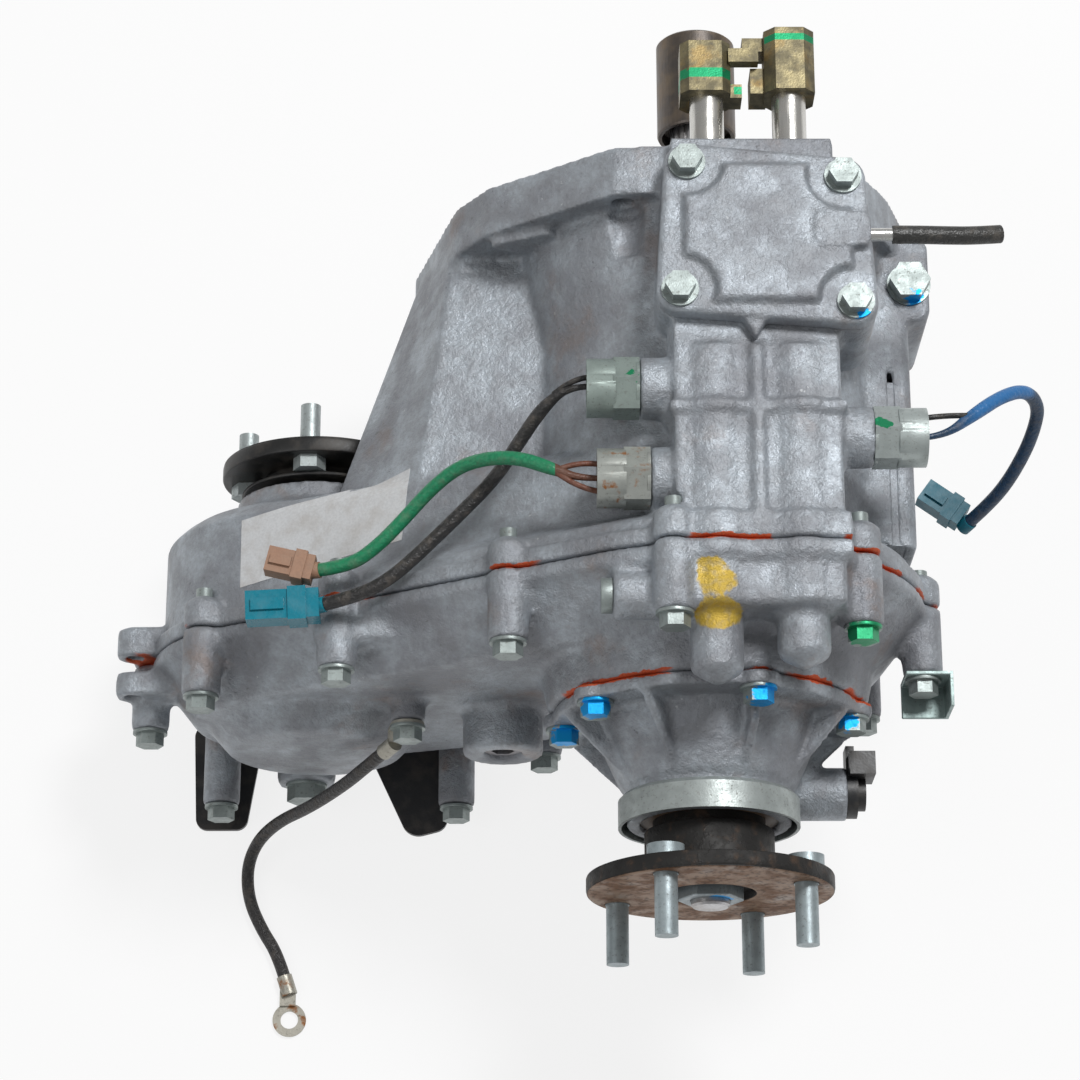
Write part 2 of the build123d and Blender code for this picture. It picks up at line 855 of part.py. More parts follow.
def rear_output_shaft():
    """Main shaft from its pilot to the threaded end, with the two sliding hubs and the speed rotor."""
    shaft = turned(
        [
            (0, -104),
            (pilot_r, -104),
            (pilot_r, -130.5),
            (hub_r, -130.5),
            (hub_r, -160),
            (20, -160),
            (20, -198.5),
            (drive_hub_r, -198.5),
            (drive_hub_r, -219),
            (24, -219),
            (24, -226),
            (rear_race_r - 2 * race_thickness - 2, -226),
            (rear_race_r - 2 * race_thickness - 2, -244),
            (20, -244),
            (20, rotor_y + 4),
            (rotor_r, rotor_y + 4),
            (rotor_r, rotor_y - 4),
            (20, rotor_y - 4),
            (20, -283.5),
            (14, -283.5),
            (14, rear_flange_y + 5),
            (9, rear_flange_y + 5),
            (9, -337),
            (8, -338),
            (0, -338),
        ]
    )
    return shaft


def high_low_sleeve():
    """Range sleeve: inner splines at both ends, clutch collar in front and a fork groove behind."""
    bore = hub_r + running
    return turned(
        [
            (bore, -124),
            (32.7, -124),
            (32.7, -130),
            (29, -130),
            (29, -140),
            (37, -140),
            (37, -143.5),
            (31, -143.5),
            (31, -148.5),
            (37, -148.5),
            (37, -152),
            (bore, -152),
            (bore, -146),
            (26, -145),
            (26, -131),
            (bore, -130),
        ]
    )


def front_drive_sleeve():
    bore = drive_hub_r + running
    return turned(
        [
            (bore, -199),
            (35, -199),
            (35, -205),
            (42, -205),
            (42, -208.5),
            (36, -208.5),
            (36, -213.5),
            (42, -213.5),
            (42, -217),
            (bore, -217),
        ]
    )


def fork(rod_x, groove_r, groove_y, hub_front, hub_rear):
    """Shift fork: a half ring in the sleeve's groove, hung from a hub on its rod."""
    thickness = 4.4
    ring = disc(groove_r + 13) - panel(-90, 90, -90, -6)
    web = wrap(disc(11.5, rod_x, rod_z), disc(10, rod_x * 0.3, groove_r + 8))
    blade = ring + web - disc(groove_r + side_gap)
    shape = along_y(blade, groove_y + thickness / 2, groove_y - thickness / 2)
    shape += bar(11.5, hub_front, hub_rear, rod_x, rod_z)
    return shape - bar(rod_r, hub_front + 5, hub_rear - 5, rod_x, rod_z)


rod_one_front = 50.0
rod_two_front = 57.0


def rod(x, front, rear):
    return turned([(0, front), (rod_r - 1, front), (rod_r, front - 1), (rod_r, rear + 1), (rod_r - 1, rear), (0, rear)], x, rod_z)


def high_low_rod_head():
    """Selector head on the range rod, with a long and a short finger."""
    outline = chamfer(panel(-12.5, 11.0, rod_z - 12, rod_z + 12).vertices(), 4.0)
    end = rod_one_front
    head = along_y(outline, end + 3, end - 23)
    head += block(10, 24, end - 8, end - 1, rod_z + 5.5, rod_z + 11.5)
    head += block(10, 16.5, end - 23, end - 16, rod_z - 8, rod_z + 4)
    return head - bar(rod_r, end, end - 23, 0, rod_z)


def front_drive_rod_head():
    """Selector head on the front-drive rod, hooked towards the other head."""
    x = rod_spacing
    outline = chamfer(panel(x - 11.5, x + 12.0, rod_z - 12, rod_z + 12).vertices(), 5.0)
    end = rod_two_front
    head = along_y(outline, end + 3, end - 29)
    head += block(x - 21.5, x - 10, end - 6, end + 1, rod_z - 8, rod_z + 4.5)
    head += block(x - 18, x - 10, end - 28, end - 15, rod_z - 12, rod_z + 4.5)
    return head - bar(rod_r, end, end - 29, x, rod_z)


# Chain drive


def drive_sprocket():
    """Sprocket free on the main shaft, with the front-drive clutch ring behind it."""
    body = along_y(sprocket_outline(), chain_y + chain_width / 2 + 1, chain_y - chain_width / 2 - 1)
    body += bar(drive_hub_r, chain_y, -197.5)
    return body - bar(20 + running, chain_y + chain_width, -199)


def sprocket_outline():
    """Teeth set between the chain links where the chain first meets the sprocket."""
    root = sprocket_pitch_r - tooth_depth - 1
    return tooth_ring(sprocket_teeth, root, sprocket_pitch_r - 1.2, 0.56, 0.12, axis_angle - 90)


def chain_loop_point(distance, offset):
    """Point on the chain's path, measured along its pitch line and offset outwards."""
    half_wrap = chain_pitch * sprocket_teeth / 2
    loop = 2 * (centre_distance + half_wrap)
    s = distance % loop
    if s < centre_distance:
        along, across = s, 1
    elif s < centre_distance + half_wrap:
        angle = axis_angle - 90 + 180 * (s - centre_distance) / half_wrap
        return polar(sprocket_pitch_r + offset, angle, front_x, front_z)
    elif s < 2 * centre_distance + half_wrap:
        along, across = 2 * centre_distance + half_wrap - s, -1
    else:
        angle = axis_angle + 90 + 180 * (s - 2 * centre_distance - half_wrap) / half_wrap
        return polar(sprocket_pitch_r + offset, angle)
    x, z = polar(along, axis_angle)
    return polar(sprocket_pitch_r + offset, axis_angle - 90 * across, x, z)


def drive_chain():
    """Silent chain: one toothed link per pitch round both sprockets."""
    inner = []
    for link in range(chain_links):
        start = (link + 0.5) * chain_pitch
        inner.append(chain_loop_point(start - 0.5 * chain_pitch, 0.3))
        inner.append(chain_loop_point(start - 0.18 * chain_pitch, -tooth_depth + 0.6))
        inner.append(chain_loop_point(start + 0.18 * chain_pitch, -tooth_depth + 0.6))
    outer_r = sprocket_pitch_r + chain_back
    outline = wrap(disc(outer_r), disc(outer_r, front_x, front_z)) - Polygon(*inner, align=None)
    return along_y(outline, chain_y + chain_width / 2, chain_y - chain_width / 2)


def front_output_shaft():
    """Driven sprocket and front output shaft in one piece."""
    shaft = turned(
        [
            (0, -82),
            (8, -82),
            (9, -83),
            (9, front_flange_y - nut_recess),
            (12, front_flange_y - nut_recess),
            (12, -122.5),
            (16, -122.5),
            (16, -123),
            (output_race_r - 2 * race_thickness - 1, -123),
            (output_race_r - 2 * race_thickness - 1, -138),
            (19, -138),
            (19, -208),
            (output_race_r - 2 * race_thickness - 1, -208),
            (output_race_r - 2 * race_thickness - 1, -223),
            (0, -223),
        ],
        front_x,
        front_z,
    )
    outline = Pos(front_x, front_z) * sprocket_outline()
    return shaft + along_y(outline, chain_y + chain_width / 2 + 1, chain_y - chain_width / 2 - 1)


# Output flanges

rear_flange_r = 57.0
rear_flange_t = 8.0
stud_pcd = 95.0
stud_r = 5.25
stud_start = 27.6
shoulder_step = 0.35
shoulder_proud = 0.3
stud_length = 28.0
front_flange_r = 50.0
front_flange_t = 8.0
front_pcd = 76.0
front_bolt_start = 95.0
front_bolt_length = 20.0


def rear_studs():
    return [polar(stud_pcd / 2, stud_start + 90 * i) for i in range(4)]


def front_studs():
    return [polar(front_pcd / 2, front_bolt_start + 90 * i, front_x, front_z) for i in range(4)]


def rear_flange():
    front = rear_flange_y + rear_flange_t
    body = turned(
        [
            (14, -284),
            (rear_hub_r, -284),
            (rear_hub_r, -303),
            (30, -303),
            (30, front + 3),
            (33, front),
            (rear_flange_r, front),
            (rear_flange_r, rear_flange_y + 1),
            (rear_flange_r - 1, rear_flange_y),
            (21, rear_flange_y),
            (21, rear_flange_y + 5),
            (14, rear_flange_y + 5),
        ]
    )
    for x, z in rear_studs():
        body -= bar(stud_r + shoulder_step, front, rear_flange_y, x, z)
    return body


def rear_flange_studs():
    front = rear_flange_y + rear_flange_t
    studs = []
    for x, z in rear_studs():
        stud = bar(stud_r, front, rear_flange_y - stud_length, x, z)
        stud += bar(stud_r + shoulder_step, front, rear_flange_y - shoulder_proud, x, z)
        stud += bar(8.5, front + 5, front, x, z)
        studs.append(stud)
    return Compound(children=studs)


def hex_nut(flats, bore_r, y_front, y_rear, x=0.0, z=0.0):
    outline = Pos(x, z) * (RegularPolygon(flats / 2, 6, major_radius=False) - Circle(bore_r))
    return along_y(outline, y_front, y_rear)


def rear_flange_nut():
    seat = rear_flange_y + 5
    return hex_nut(27, 9, seat, seat - 8)


nut_recess = 3.0
nut_recess_r = 19.0


def front_flange():
    rear = front_flange_y - front_flange_t
    body = turned(
        [
            (12, front_flange_y - nut_recess),
            (nut_recess_r, front_flange_y - nut_recess),
            (nut_recess_r, front_flange_y),
            (front_flange_r - 1, front_flange_y),
            (front_flange_r, front_flange_y - 1),
            (front_flange_r, rear),
            (29, rear),
            (26, rear - 4),
            (26, -106),
            (40, -106),
            (40, -108),
            (24, -108),
            (24, -122),
            (12, -122),
        ],
        front_x,
        front_z,
    )
    for x, z in front_studs():
        body -= bar(M10[0] + shoulder_step, front_flange_y, rear, x, z)
    return body


def front_flange_bolts():
    rear = front_flange_y - front_flange_t
    bolts = []
    for x, z in front_studs():
        shank = front_flange_t + front_bolt_length
        bolts.append(Pos(x, rear, z) * Rot(90, 0, 0) * flangeless_bolt(M10, shank))
    return Compound(children=bolts)


def flangeless_bolt(kind, length):
    shank_r, flats, _, _ = kind
    shoulder = front_flange_t + shoulder_proud
    bolt = Pos(0, 0, -length / 2) * Cylinder(shank_r, length)
    bolt += Pos(0, 0, -shoulder / 2) * Cylinder(shank_r + shoulder_step, shoulder)
    return bolt + extrude(RegularPolygon(flats / 2, 6, major_radius=False), amount=6.4)


def front_flange_nut():
    seat = front_flange_y - nut_recess
    return hex_nut(27, 9, seat + 7, seat, front_x, front_z)


# Switches, plugs and brackets


def switch(side, y, seat):
    """Screw-in switch: nose, hexagon and round crimped body, with a dished lead end."""
    inner = gallery_left - 1.0 if side < 0 else gallery_right + 1.0
    body = side_bar(switch_nose_r, seat, inner, y, switch_z)
    hexagon = extrude(RegularPolygon(12.5, 6, major_radius=False), amount=12)
    round_end = Pos(0, 0, 11) * extrude(Circle(13.5), amount=13)
    round_end -= Pos(0, 0, 22.5) * Cylinder(10.5, 3)
    washer = Cylinder(13.0, 1.6, align=(Align.CENTER, Align.CENTER, Align.MIN))
    outside = washer + hexagon + round_end
    return body + Pos(seat, y, switch_z) * Rot(0, 90 * side, 0) * outside


def drain_plug():
    return rearward(hex_bolt(M12, 12), drain_x, drain_y, drain_z)


def filler_plug():
    plug = bar(9.0, rear_wall_y - 2, filler_y + 2.5, filler_x, filler_z)
    socket = Pos(filler_x, filler_z) * RegularPolygon(5, 6, major_radius=False)
    return plug - along_y(socket, filler_y + 10, filler_y + 2.5)


def detent_plug():
    seat = detent_left
    plug = side_bar(detent_r, seat, seat + 8, detent_y, rod_z)
    plug += side_bar(detent_plug_r, seat, seat - 5, detent_y, rod_z)
    socket = extrude(RegularPolygon(4, 6, major_radius=False), amount=3.5)
    return plug - Pos(seat - 1.5, detent_y, rod_z) * Rot(0, -90, 0) * socket


ball_r = 4.0


def detent_ball():
    return Pos(-rod_r - ball_r - running, detent_y, rod_z) * Sphere(ball_r)


def detent_spring():
    """Detent spring, as a closed sleeve of the coil's size."""
    start = -rod_r - 2 * ball_r - 2 * running
    end = detent_left + 8
    return side_bar(4.0, start, end, detent_y, rod_z) - side_bar(2.6, start, end, detent_y, rod_z)


def harness_bracket():
    """Bent steel bracket clamped under the right seam bolt."""
    x, z = seam_bolts[bracket_bolt]
    y = seam_y - boss_length
    right = x + 13
    tab = block(x - 9, right, y, y - bracket_sheet, z - 12, z + 9)
    shelf = block(x - 9, right, y, y - 17, z - 13.8, z - 12)
    side = block(right - bracket_sheet, right, y, y - 17, z - 13.8, z + 9)
    return tab + shelf + side - bar(M8[0] + 0.4, y, y - 2, x, z)


guard_drop = 12.45
guard_z = front_z - chain_case_r - guard_drop


def lower_guard():
    """Guard below the chain case, with two rounded rearward tongues."""
    sheet = 3.0
    left, right = seam_bolts[2], seam_bolts[5]
    plate = block(left[0] - 14, right[0] + 12, seam_y + 30, seam_y - 16, guard_z, guard_z + sheet)
    front, tip = seam_y - 12, seam_y - 56
    near = [(6, left[0] - 11, front), (6, left[0] + 13, front), (6, left[0] + 6, tip), (6, left[0] - 9, tip)]
    far = [(6, right[0] - 44, front), (6, right[0] + 2, front), (9, right[0] - 20, tip), (7, right[0] - 12, tip)]
    for tongue in (near, far):
        outline = wrap(*[Pos(x, y) * Circle(r) for r, x, y in tongue])
        plate += Pos(0, 0, guard_z) * extrude(outline, amount=sheet)
    for x, z in (left, right):
        saddle = panel(x - 8, x + 8, guard_z, z) - disc(boss_r, x, z)
        plate += along_y(saddle, seam_y - 10, seam_y - 16)
    return plate


# Breather, leads and ground cable

hose_r = 4.2
lead_r = 3.2
ground_r = 3.2

hose_points = [
    (82.0, -51.7, 110.0),
    (94.0, -51.7, 110.0),
    (107.0, -51.6, 109.0),
    (120.0, -50.6, 106.6),
    (132.0, -48.4, 103.6),
]
low_range_points = [
    (-54.0, -117.0, 88.0),
    (-65.0, -117.0, 88.0),
    (-76.2, -123.5, 80.5),
    (-86.0, -134.5, 70.0),
    (-98.2, -150.8, 60.0),
    (-113.8, -164.9, 53.0),
    (-129.4, -179.6, 49.0),
    (-145.9, -194.4, 45.5),
    (-161.6, -201.6, 41.0),
    (-177.0, -203.8, 36.0),
]
neutral_points = [
    (-49.5, -161.5, 88.0),
    (-61.0, -161.5, 88.0),
    (-73.5, -156.1, 87.0),
    (-87.0, -149.8, 83.0),
    (-101.6, -147.1, 76.0),
    (-115.5, -148.1, 67.0),
    (-128.5, -156.0, 58.0),
    (-140.1, -166.8, 50.0),
    (-152.5, -179.0, 46.0),
    (-165.5, -187.4, 42.0),
    (-179.5, -187.9, 38.0),
]
front_drive_points = [
    (93.0, -142.0, 88.0),
    (104.0, -141.5, 88.0),
    (119.5, -128.4, 83.0),
    (133.5, -116.4, 75.0),
    (146.5, -109.0, 64.0),
    (154.3, -111.7, 51.0),
    (153.6, -118.6, 38.0),
    (150.1, -126.4, 24.0),
    (143.4, -135.6, 8.0),
    (135.5, -141.6, -6.0),
    (129.4, -145.1, -15.0),
]
ground_points = [
    (-153.8, -248.3, -59.3),
    (-164.0, -252.8, -73.0),
    (-174.2, -256.5, -89.0),
    (-193.3, -260.6, -118.0),
    (-210.1, -261.7, -141.0),
    (-222.8, -267.2, -160.0),
    (-229.0, -278.6, -171.0),
    (-228.0, -295.0, -174.5),
    (-220.8, -310.7, -174.7),
    (-212.6, -323.0, -174.6),
    (-208.6, -335.0, -174.5),
]


def cord_radii(points):
    """Bend radii that let each arc take as much of its two runs as they allow."""
    radii = []
    for a, b, c in zip(points, points[1:], points[2:]):
        before = Vector(*b) - Vector(*a)
        after = Vector(*c) - Vector(*b)
        turn = radians(before.get_angle(after))
        radii.append(0.45 * min(before.length, after.length) / tan(turn / 2))
    return radii


def cord(points, radius):
    """Round cord of straight runs joined by tangent arcs."""
    radii = cord_radii(points)
    path = FilletPolyline(*points, radius=radii)
    start = Plane(origin=path @ 0, z_dir=path % 0)
    body = sweep(start * Circle(radius), path=path)
    section = round(body.volume / path.length / (pi * radius**2), 3)
    print("cord: smallest bend", round(min(radii), 1), "volume share", section)
    return body


def breather_nipple():
    return side_bar(nipple_r, cover_boss_end - 8, nipple_end, nipple_y, nipple_z)


def side_bolt():
    return Pos(side_bolt_x, side_bolt_y, side_bolt_z) * hex_bolt(M12, 20)


def ground_bolt():
    x, z = ground_boss
    return rearward(hex_bolt(M8, 18), x, ground_boss_y - terminal_sheet, z)


terminal_sheet = 1.6


def crimp(start, way, radius, length):
    """Round barrel from a point, along a direction."""
    return Plane(origin=start, z_dir=way) * extrude(Circle(radius), amount=length)


def heading(start, end):
    return (Vector(*end) - Vector(*start)).normalized()


def case_terminal():
    """Ring terminal under the ground bolt, with its crimp on the cable."""
    x, z = ground_boss
    way = heading(ground_points[0], ground_points[1])
    start = Vector(*ground_points[0]) - way * 10
    low_y = ground_boss_y - terminal_sheet
    plan = wrap(disc(8, x, z), disc(3.5, start.X, start.Z)) - disc(M8[0] + 0.4, x, z)
    eye = along_y(plan, ground_boss_y, low_y)
    eye += bar(3.5, ground_boss_y, start.Y, start.X, start.Z)
    return eye + crimp(start, way, ground_r + 0.8, 10)


def free_terminal():
    """Flat eye terminal at the loose end of the ground cable."""
    x, y, z = ground_points[-1]
    way = heading(ground_points[-2], ground_points[-1])
    low = z - ground_r
    eye = Pos(x + 3, y - 22, low) * extrude(Circle(8.5) - Circle(4.5), amount=terminal_sheet)
    tang = block(x - 2, x + 6, y - 7, y - 15, low, low + 2 * terminal_sheet)
    barrel = crimp(ground_points[-1], way, ground_r + 0.8, 10)
    return eye + tang + barrel - block(x - 12, x + 12, y + 2, y - 14, low - 3, low)


def ground_terminals():
    return Compound(children=[case_terminal(), free_terminal()])


def connector(points, offset, yaw, length, width, height):
    """Plug body with a collar, a latch and a round cable entry."""
    body = Box(length, width, height)
    body += Pos(length * 0.2, 0, 0) * Box(length * 0.25, width + 2, height + 2)
    body += Pos(-length * 0.2, 0, height / 2) * Box(length * 0.45, width * 0.4, 3)
    body = Pos(*(Vector(*points[-1]) + Vector(*offset))) * Rot(0, 0, yaw) * body
    return body + crimp(points[-1], heading(points[-2], points[-1]), lead_r + 0.6, 6)


def low_range_connector():
    return connector(low_range_points, (-19.5, -1, -2), 3, 33.8, 14, 12)


def neutral_connector():
    return connector(neutral_points, (-13.8, 2.6, -1.5), -13, 22, 12, 10)


def front_drive_connector():
    return connector(front_drive_points, (-12.6, 9.0, -2.0), -36, 23, 12, 10)


parts = {
    "front_case": front_case,
    "rear_case": rear_case,
    "extension_housing": extension_housing,
    "top_cover": top_cover,
    "cover_bolts": cover_bolts,
    "case_bolts": case_bolts,
    "extension_bolts": extension_bolt_set,
    "side_bolt": side_bolt,
    "ground_bolt": ground_bolt,
    "drain_plug": drain_plug,
    "filler_plug": filler_plug,
    "detent_plug": detent_plug,
    "detent_ball": detent_ball,
    "detent_spring": detent_spring,
    "breather_nipple": breather_nipple,
    "lower_guard": lower_guard,
    "harness_bracket": harness_bracket,
    "speed_sensor": speed_sensor,
    "dust_deflector": dust_deflector,
    "bearing_outer_races": bearing_outer_races,
    "input_shaft": input_shaft,
    "input_sleeve": input_sleeve,
    "ring_gear": ring_gear,
    "planet_carrier": planet_carrier,
    "rear_output_shaft": rear_output_shaft,
    "high_low_sleeve": high_low_sleeve,
    "front_drive_sleeve": front_drive_sleeve,
    "drive_sprocket": drive_sprocket,
    "drive_chain": drive_chain,
    "front_output_shaft": front_output_shaft,
    "rear_flange": rear_flange,
    "rear_flange_studs": rear_flange_studs,
    "rear_flange_nut": rear_flange_nut,
    "front_flange": front_flange,
    "front_flange_bolts": front_flange_bolts,
    "front_flange_nut": front_flange_nut,
    "high_low_rod_head": high_low_rod_head,
    "front_drive_rod_head": front_drive_rod_head,
    "high_low_rod": lambda: rod(0, rod_one_front, -244),
    "front_drive_rod": lambda: rod(rod_spacing, rod_two_front, -238),
    "high_low_fork": lambda: fork(0, 31, -146, -134, -158),
    "front_drive_fork": lambda: fork(rod_spacing, 36, -211, -198, -211),
    "input_seal": lambda: seal(input_seal_r, 15, -57, -65),
    "rear_output_seal": lambda: seal(rear_seal_r, rear_hub_r, -289, -298),
    "front_output_seal": lambda: seal(output_race_r, 24, -114.5, -121.5, front_x, front_z),
    "breather_hose": lambda: cord(hose_points, hose_r),
    "low_range_lead": lambda: cord(low_range_points, lead_r),
    "neutral_lead": lambda: cord(neutral_points, lead_r),
    "front_drive_lead": lambda: cord(front_drive_points, lead_r),
    "ground_cable": lambda: cord(ground_points, ground_r),
    "low_range_connector": low_range_connector,
    "neutral_connector": neutral_connector,
    "front_drive_connector": front_drive_connector,
    "ground_terminals": ground_terminals,
}

os.makedirs("parts", exist_ok=True)
for i, angle in enumerate(planet_angles):
    parts[f"planet_gear_{i + 1}"] = lambda angle=angle: planet_gear(angle)
for name, place in switches.items():
    parts[name] = lambda place=place: switch(*place)
for name, make in parts.items():
    export_step(make(), f"parts/{name}.step")
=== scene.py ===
import math

import bmesh
import bpy
from mathutils import Matrix, Vector
from mathutils.bvhtree import BVHTree


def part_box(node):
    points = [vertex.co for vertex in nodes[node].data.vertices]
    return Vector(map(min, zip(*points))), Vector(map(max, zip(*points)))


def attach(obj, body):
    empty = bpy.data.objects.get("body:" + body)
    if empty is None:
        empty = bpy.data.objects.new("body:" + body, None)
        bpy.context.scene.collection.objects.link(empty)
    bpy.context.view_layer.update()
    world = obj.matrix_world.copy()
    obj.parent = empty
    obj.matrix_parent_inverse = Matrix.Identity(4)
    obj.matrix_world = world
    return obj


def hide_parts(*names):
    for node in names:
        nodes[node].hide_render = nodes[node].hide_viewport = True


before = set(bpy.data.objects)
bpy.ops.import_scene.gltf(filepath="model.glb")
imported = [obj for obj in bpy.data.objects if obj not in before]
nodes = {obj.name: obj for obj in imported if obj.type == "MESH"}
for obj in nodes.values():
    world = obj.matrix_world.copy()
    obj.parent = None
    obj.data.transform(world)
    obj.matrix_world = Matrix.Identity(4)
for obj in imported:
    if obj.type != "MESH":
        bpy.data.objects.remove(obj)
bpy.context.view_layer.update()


# Shader maths


class Amount:
    """A number in a material, with arithmetic that adds Math nodes."""

    def __init__(self, finish, socket):
        self.finish = finish
        self.socket = socket

    def work(self, operation, *values, clamp=False):
        settings = {"operation": operation, "use_clamp": clamp}
        made = self.finish.add("ShaderNodeMath", settings, dict(enumerate(values)))
        return Amount(self.finish, made.outputs[0])

    def __add__(self, other):
        return self.work("ADD", self, other)

    __radd__ = __add__

    def __mul__(self, other):
        return self.work("MULTIPLY", self, other)

    __rmul__ = __mul__

    def __sub__(self, other):
        return self.work("SUBTRACT", self, other)

    def __rsub__(self, other):
        return self.work("SUBTRACT", other, self)

    def clipped(self):
        return self.work("ADD", self, 0.0, clamp=True)

    def most(self, other):
        return self.work("MAXIMUM", self, other)


class Finish:
    """A procedural material on the Principled shader, patterned on Object coordinates."""

    def __init__(self, name, **plain):
        self.material = bpy.data.materials.new(name)
        self.material.use_nodes = True
        self.tree = self.material.node_tree
        self.tree.nodes.clear()
        self.shader = self.add("ShaderNodeBsdfPrincipled")
        output = self.add("ShaderNodeOutputMaterial")
        self.tree.links.new(self.shader.outputs["BSDF"], output.inputs["Surface"])
        self.place = self.add("ShaderNodeTexCoord").outputs["Object"]
        for name, value in plain.items():
            self.set(name.replace("_", " ").title(), value)

    def add(self, kind, settings=None, values=None):
        made = self.tree.nodes.new(kind)
        for key, value in (settings or {}).items():
            setattr(made, key, value)
        for key, value in (values or {}).items():
            self.feed(made.inputs[key], value)
        return made

    def feed(self, socket, value):
        if isinstance(value, Amount):
            value = value.socket
        if isinstance(value, bpy.types.NodeSocket):
            self.tree.links.new(value, socket)
        else:
            socket.default_value = value

    def set(self, name, value):
        self.feed(self.shader.inputs[name], value)

    def stretched(self, x=1.0, y=1.0, z=1.0):
        made = self.add("ShaderNodeMapping", {}, {"Vector": self.place, "Scale": (x, y, z)})
        return made.outputs[0]

    def noise(self, size, low=0.0, high=1.0, detail=3.0, rough=0.55, place=None):
        """Noise with features of about this size in metres, spread from low to high."""
        values = {"Vector": place or self.place, "Scale": 1 / size, "Detail": detail, "Roughness": rough}
        made = self.add("ShaderNodeTexNoise", {}, values)
        return self.spread(Amount(self, made.outputs[0]), low, high)

    def spread(self, amount, low, high):
        settings = {"interpolation_type": "SMOOTHSTEP"}
        values = {"Value": amount, "From Min": low, "From Max": high}
        return Amount(self, self.add("ShaderNodeMapRange", settings, values).outputs[0])

    def axis(self, letter):
        made = self.add("ShaderNodeSeparateXYZ", {}, {"Vector": self.place})
        return Amount(self, made.outputs[letter])

    def mix(self, one, two, share):
        made = self.add("ShaderNodeMix", {"data_type": "RGBA"})
        self.feed(made.inputs[0], share)
        self.feed(made.inputs[6], one if isinstance(one, bpy.types.NodeSocket) else (*one, 1))
        self.feed(made.inputs[7], two if isinstance(two, bpy.types.NodeSocket) else (*two, 1))
        return made.outputs[2]

    def bump(self, height, depth, strength=1.0):
        values = {"Height": height, "Distance": depth, "Strength": strength}
        self.set("Normal", self.add("ShaderNodeBump", {}, values).outputs[0])

    def near(self, point, reach, soft=0.4, ragged=0.0):
        """One near a point in millimetres and nothing beyond its reach, with a ragged edge."""
        centre = tuple(v / 1000 for v in point)
        made = self.add("ShaderNodeVectorMath", {"operation": "DISTANCE"}, {0: self.place, 1: centre})
        gap = Amount(self, made.outputs["Value"])
        if ragged:
            gap = gap + (self.noise(0.004, 0.3, 0.7) - 0.5) * (ragged / 1000)
        inner = reach * (1 - soft) / 1000
        return 1 - self.spread(gap, inner, reach / 1000)

    def band(self, letter, low, high, soft=0.3):
        """One between two places along an axis, in millimetres."""
        place = self.axis(letter)
        rise = self.spread(place, (low - soft) / 1000, low / 1000)
        fall = self.spread(place, high / 1000, (high + soft) / 1000)
        return rise * (1 - fall)


# Finishes


def cast_aluminium(name, marks=(), darkening=0.0):
    """Sand-cast aluminium, satin, with fine grain, dull blotches and small bright nicks, made evenly darker
    and warmer all over where given.
    """
    f = Finish(name, metallic=0.45)
    cloud = f.noise(0.040, 0.36, 0.64, detail=7, rough=0.62)
    mottle = f.noise(0.012, 0.36, 0.66, detail=7, rough=0.68)
    grit = f.noise(0.0018, 0.30, 0.75, detail=4)
    speck = f.noise(0.0032, 0.66, 0.74, detail=3) * f.noise(0.02, 0.45, 0.62)
    nick = f.noise(0.0028, 0.70, 0.76, detail=2) * f.noise(0.035, 0.5, 0.6)
    # the given amount shifts the whole surface evenly towards the darker, warmer tone, on top of the random
    # blotches
    tone = f.mix((0.44, 0.485, 0.53), (0.235, 0.245, 0.27), cloud * 0.85 + darkening)
    tone = f.mix(tone, (0.25, 0.255, 0.27), mottle * 0.55)
    tone = f.mix(tone, (0.20, 0.20, 0.205), grit * 0.30)
    tone = f.mix(tone, (0.10, 0.095, 0.095), speck * 0.5)
    tone = f.mix(tone, (0.60, 0.62, 0.64), nick * 0.7)
    warm = f.noise(0.045, 0.56, 0.70, detail=7, rough=0.65)
    tone = f.mix(tone, (0.25, 0.165, 0.12), warm * (0.34 + darkening))
    rough = 0.42 + cloud * 0.10 + mottle * 0.08 + speck * 0.15
    for colour, mask, shine in marks:
        share = mask(f)
        tone = f.mix(tone, colour, share)
        rough = rough + share * shine
    f.set("Base Color", tone)
    f.set("Roughness", rough)
    grain = f.noise(0.0009, 0.2, 0.8, detail=3)
    f.bump(grain * 0.4 + mottle * 0.8 + f.noise(0.0035, 0.3, 0.7) * 0.6, 0.0005, 0.75)
    return f.material


def sealant(letter_low, letter_high, size, cover, within=None):
    """Orange sealing bead that shows in patches along a joint, within a radius of the main axis."""

    def mask(f):
        edge = (f.noise(0.006, 0.3, 0.7) - 0.5) * 0.0012
        place = f.axis("Y") + edge
        rise = f.spread(place, (letter_low - 0.25) / 1000, letter_low / 1000)
        fall = f.spread(place, letter_high / 1000, (letter_high + 0.25) / 1000)
        patch = f.noise(size, cover, cover + 0.04, detail=1)
        if within:
            patch = patch * f.near((0, (letter_low + letter_high) / 2, 0), within, soft=0.01)
        return rise * (1 - fall) * patch

    return mask


def patch_of_paint(points, ragged=3.0):
    def mask(f):
        share = None
        for *point, reach in points:
            spot = f.near(point, reach, soft=0.12, ragged=ragged)
            share = spot if share is None else share.most(spot)
        return share * (0.75 + 0.25 * f.noise(0.003, 0.3, 0.6))

    return mask


ORANGE = (0.55, 0.10, 0.035)
YELLOW = (0.52, 0.36, 0.055)
CYAN = (0.0, 0.33, 0.75)
GREEN = (0.015, 0.28, 0.12)

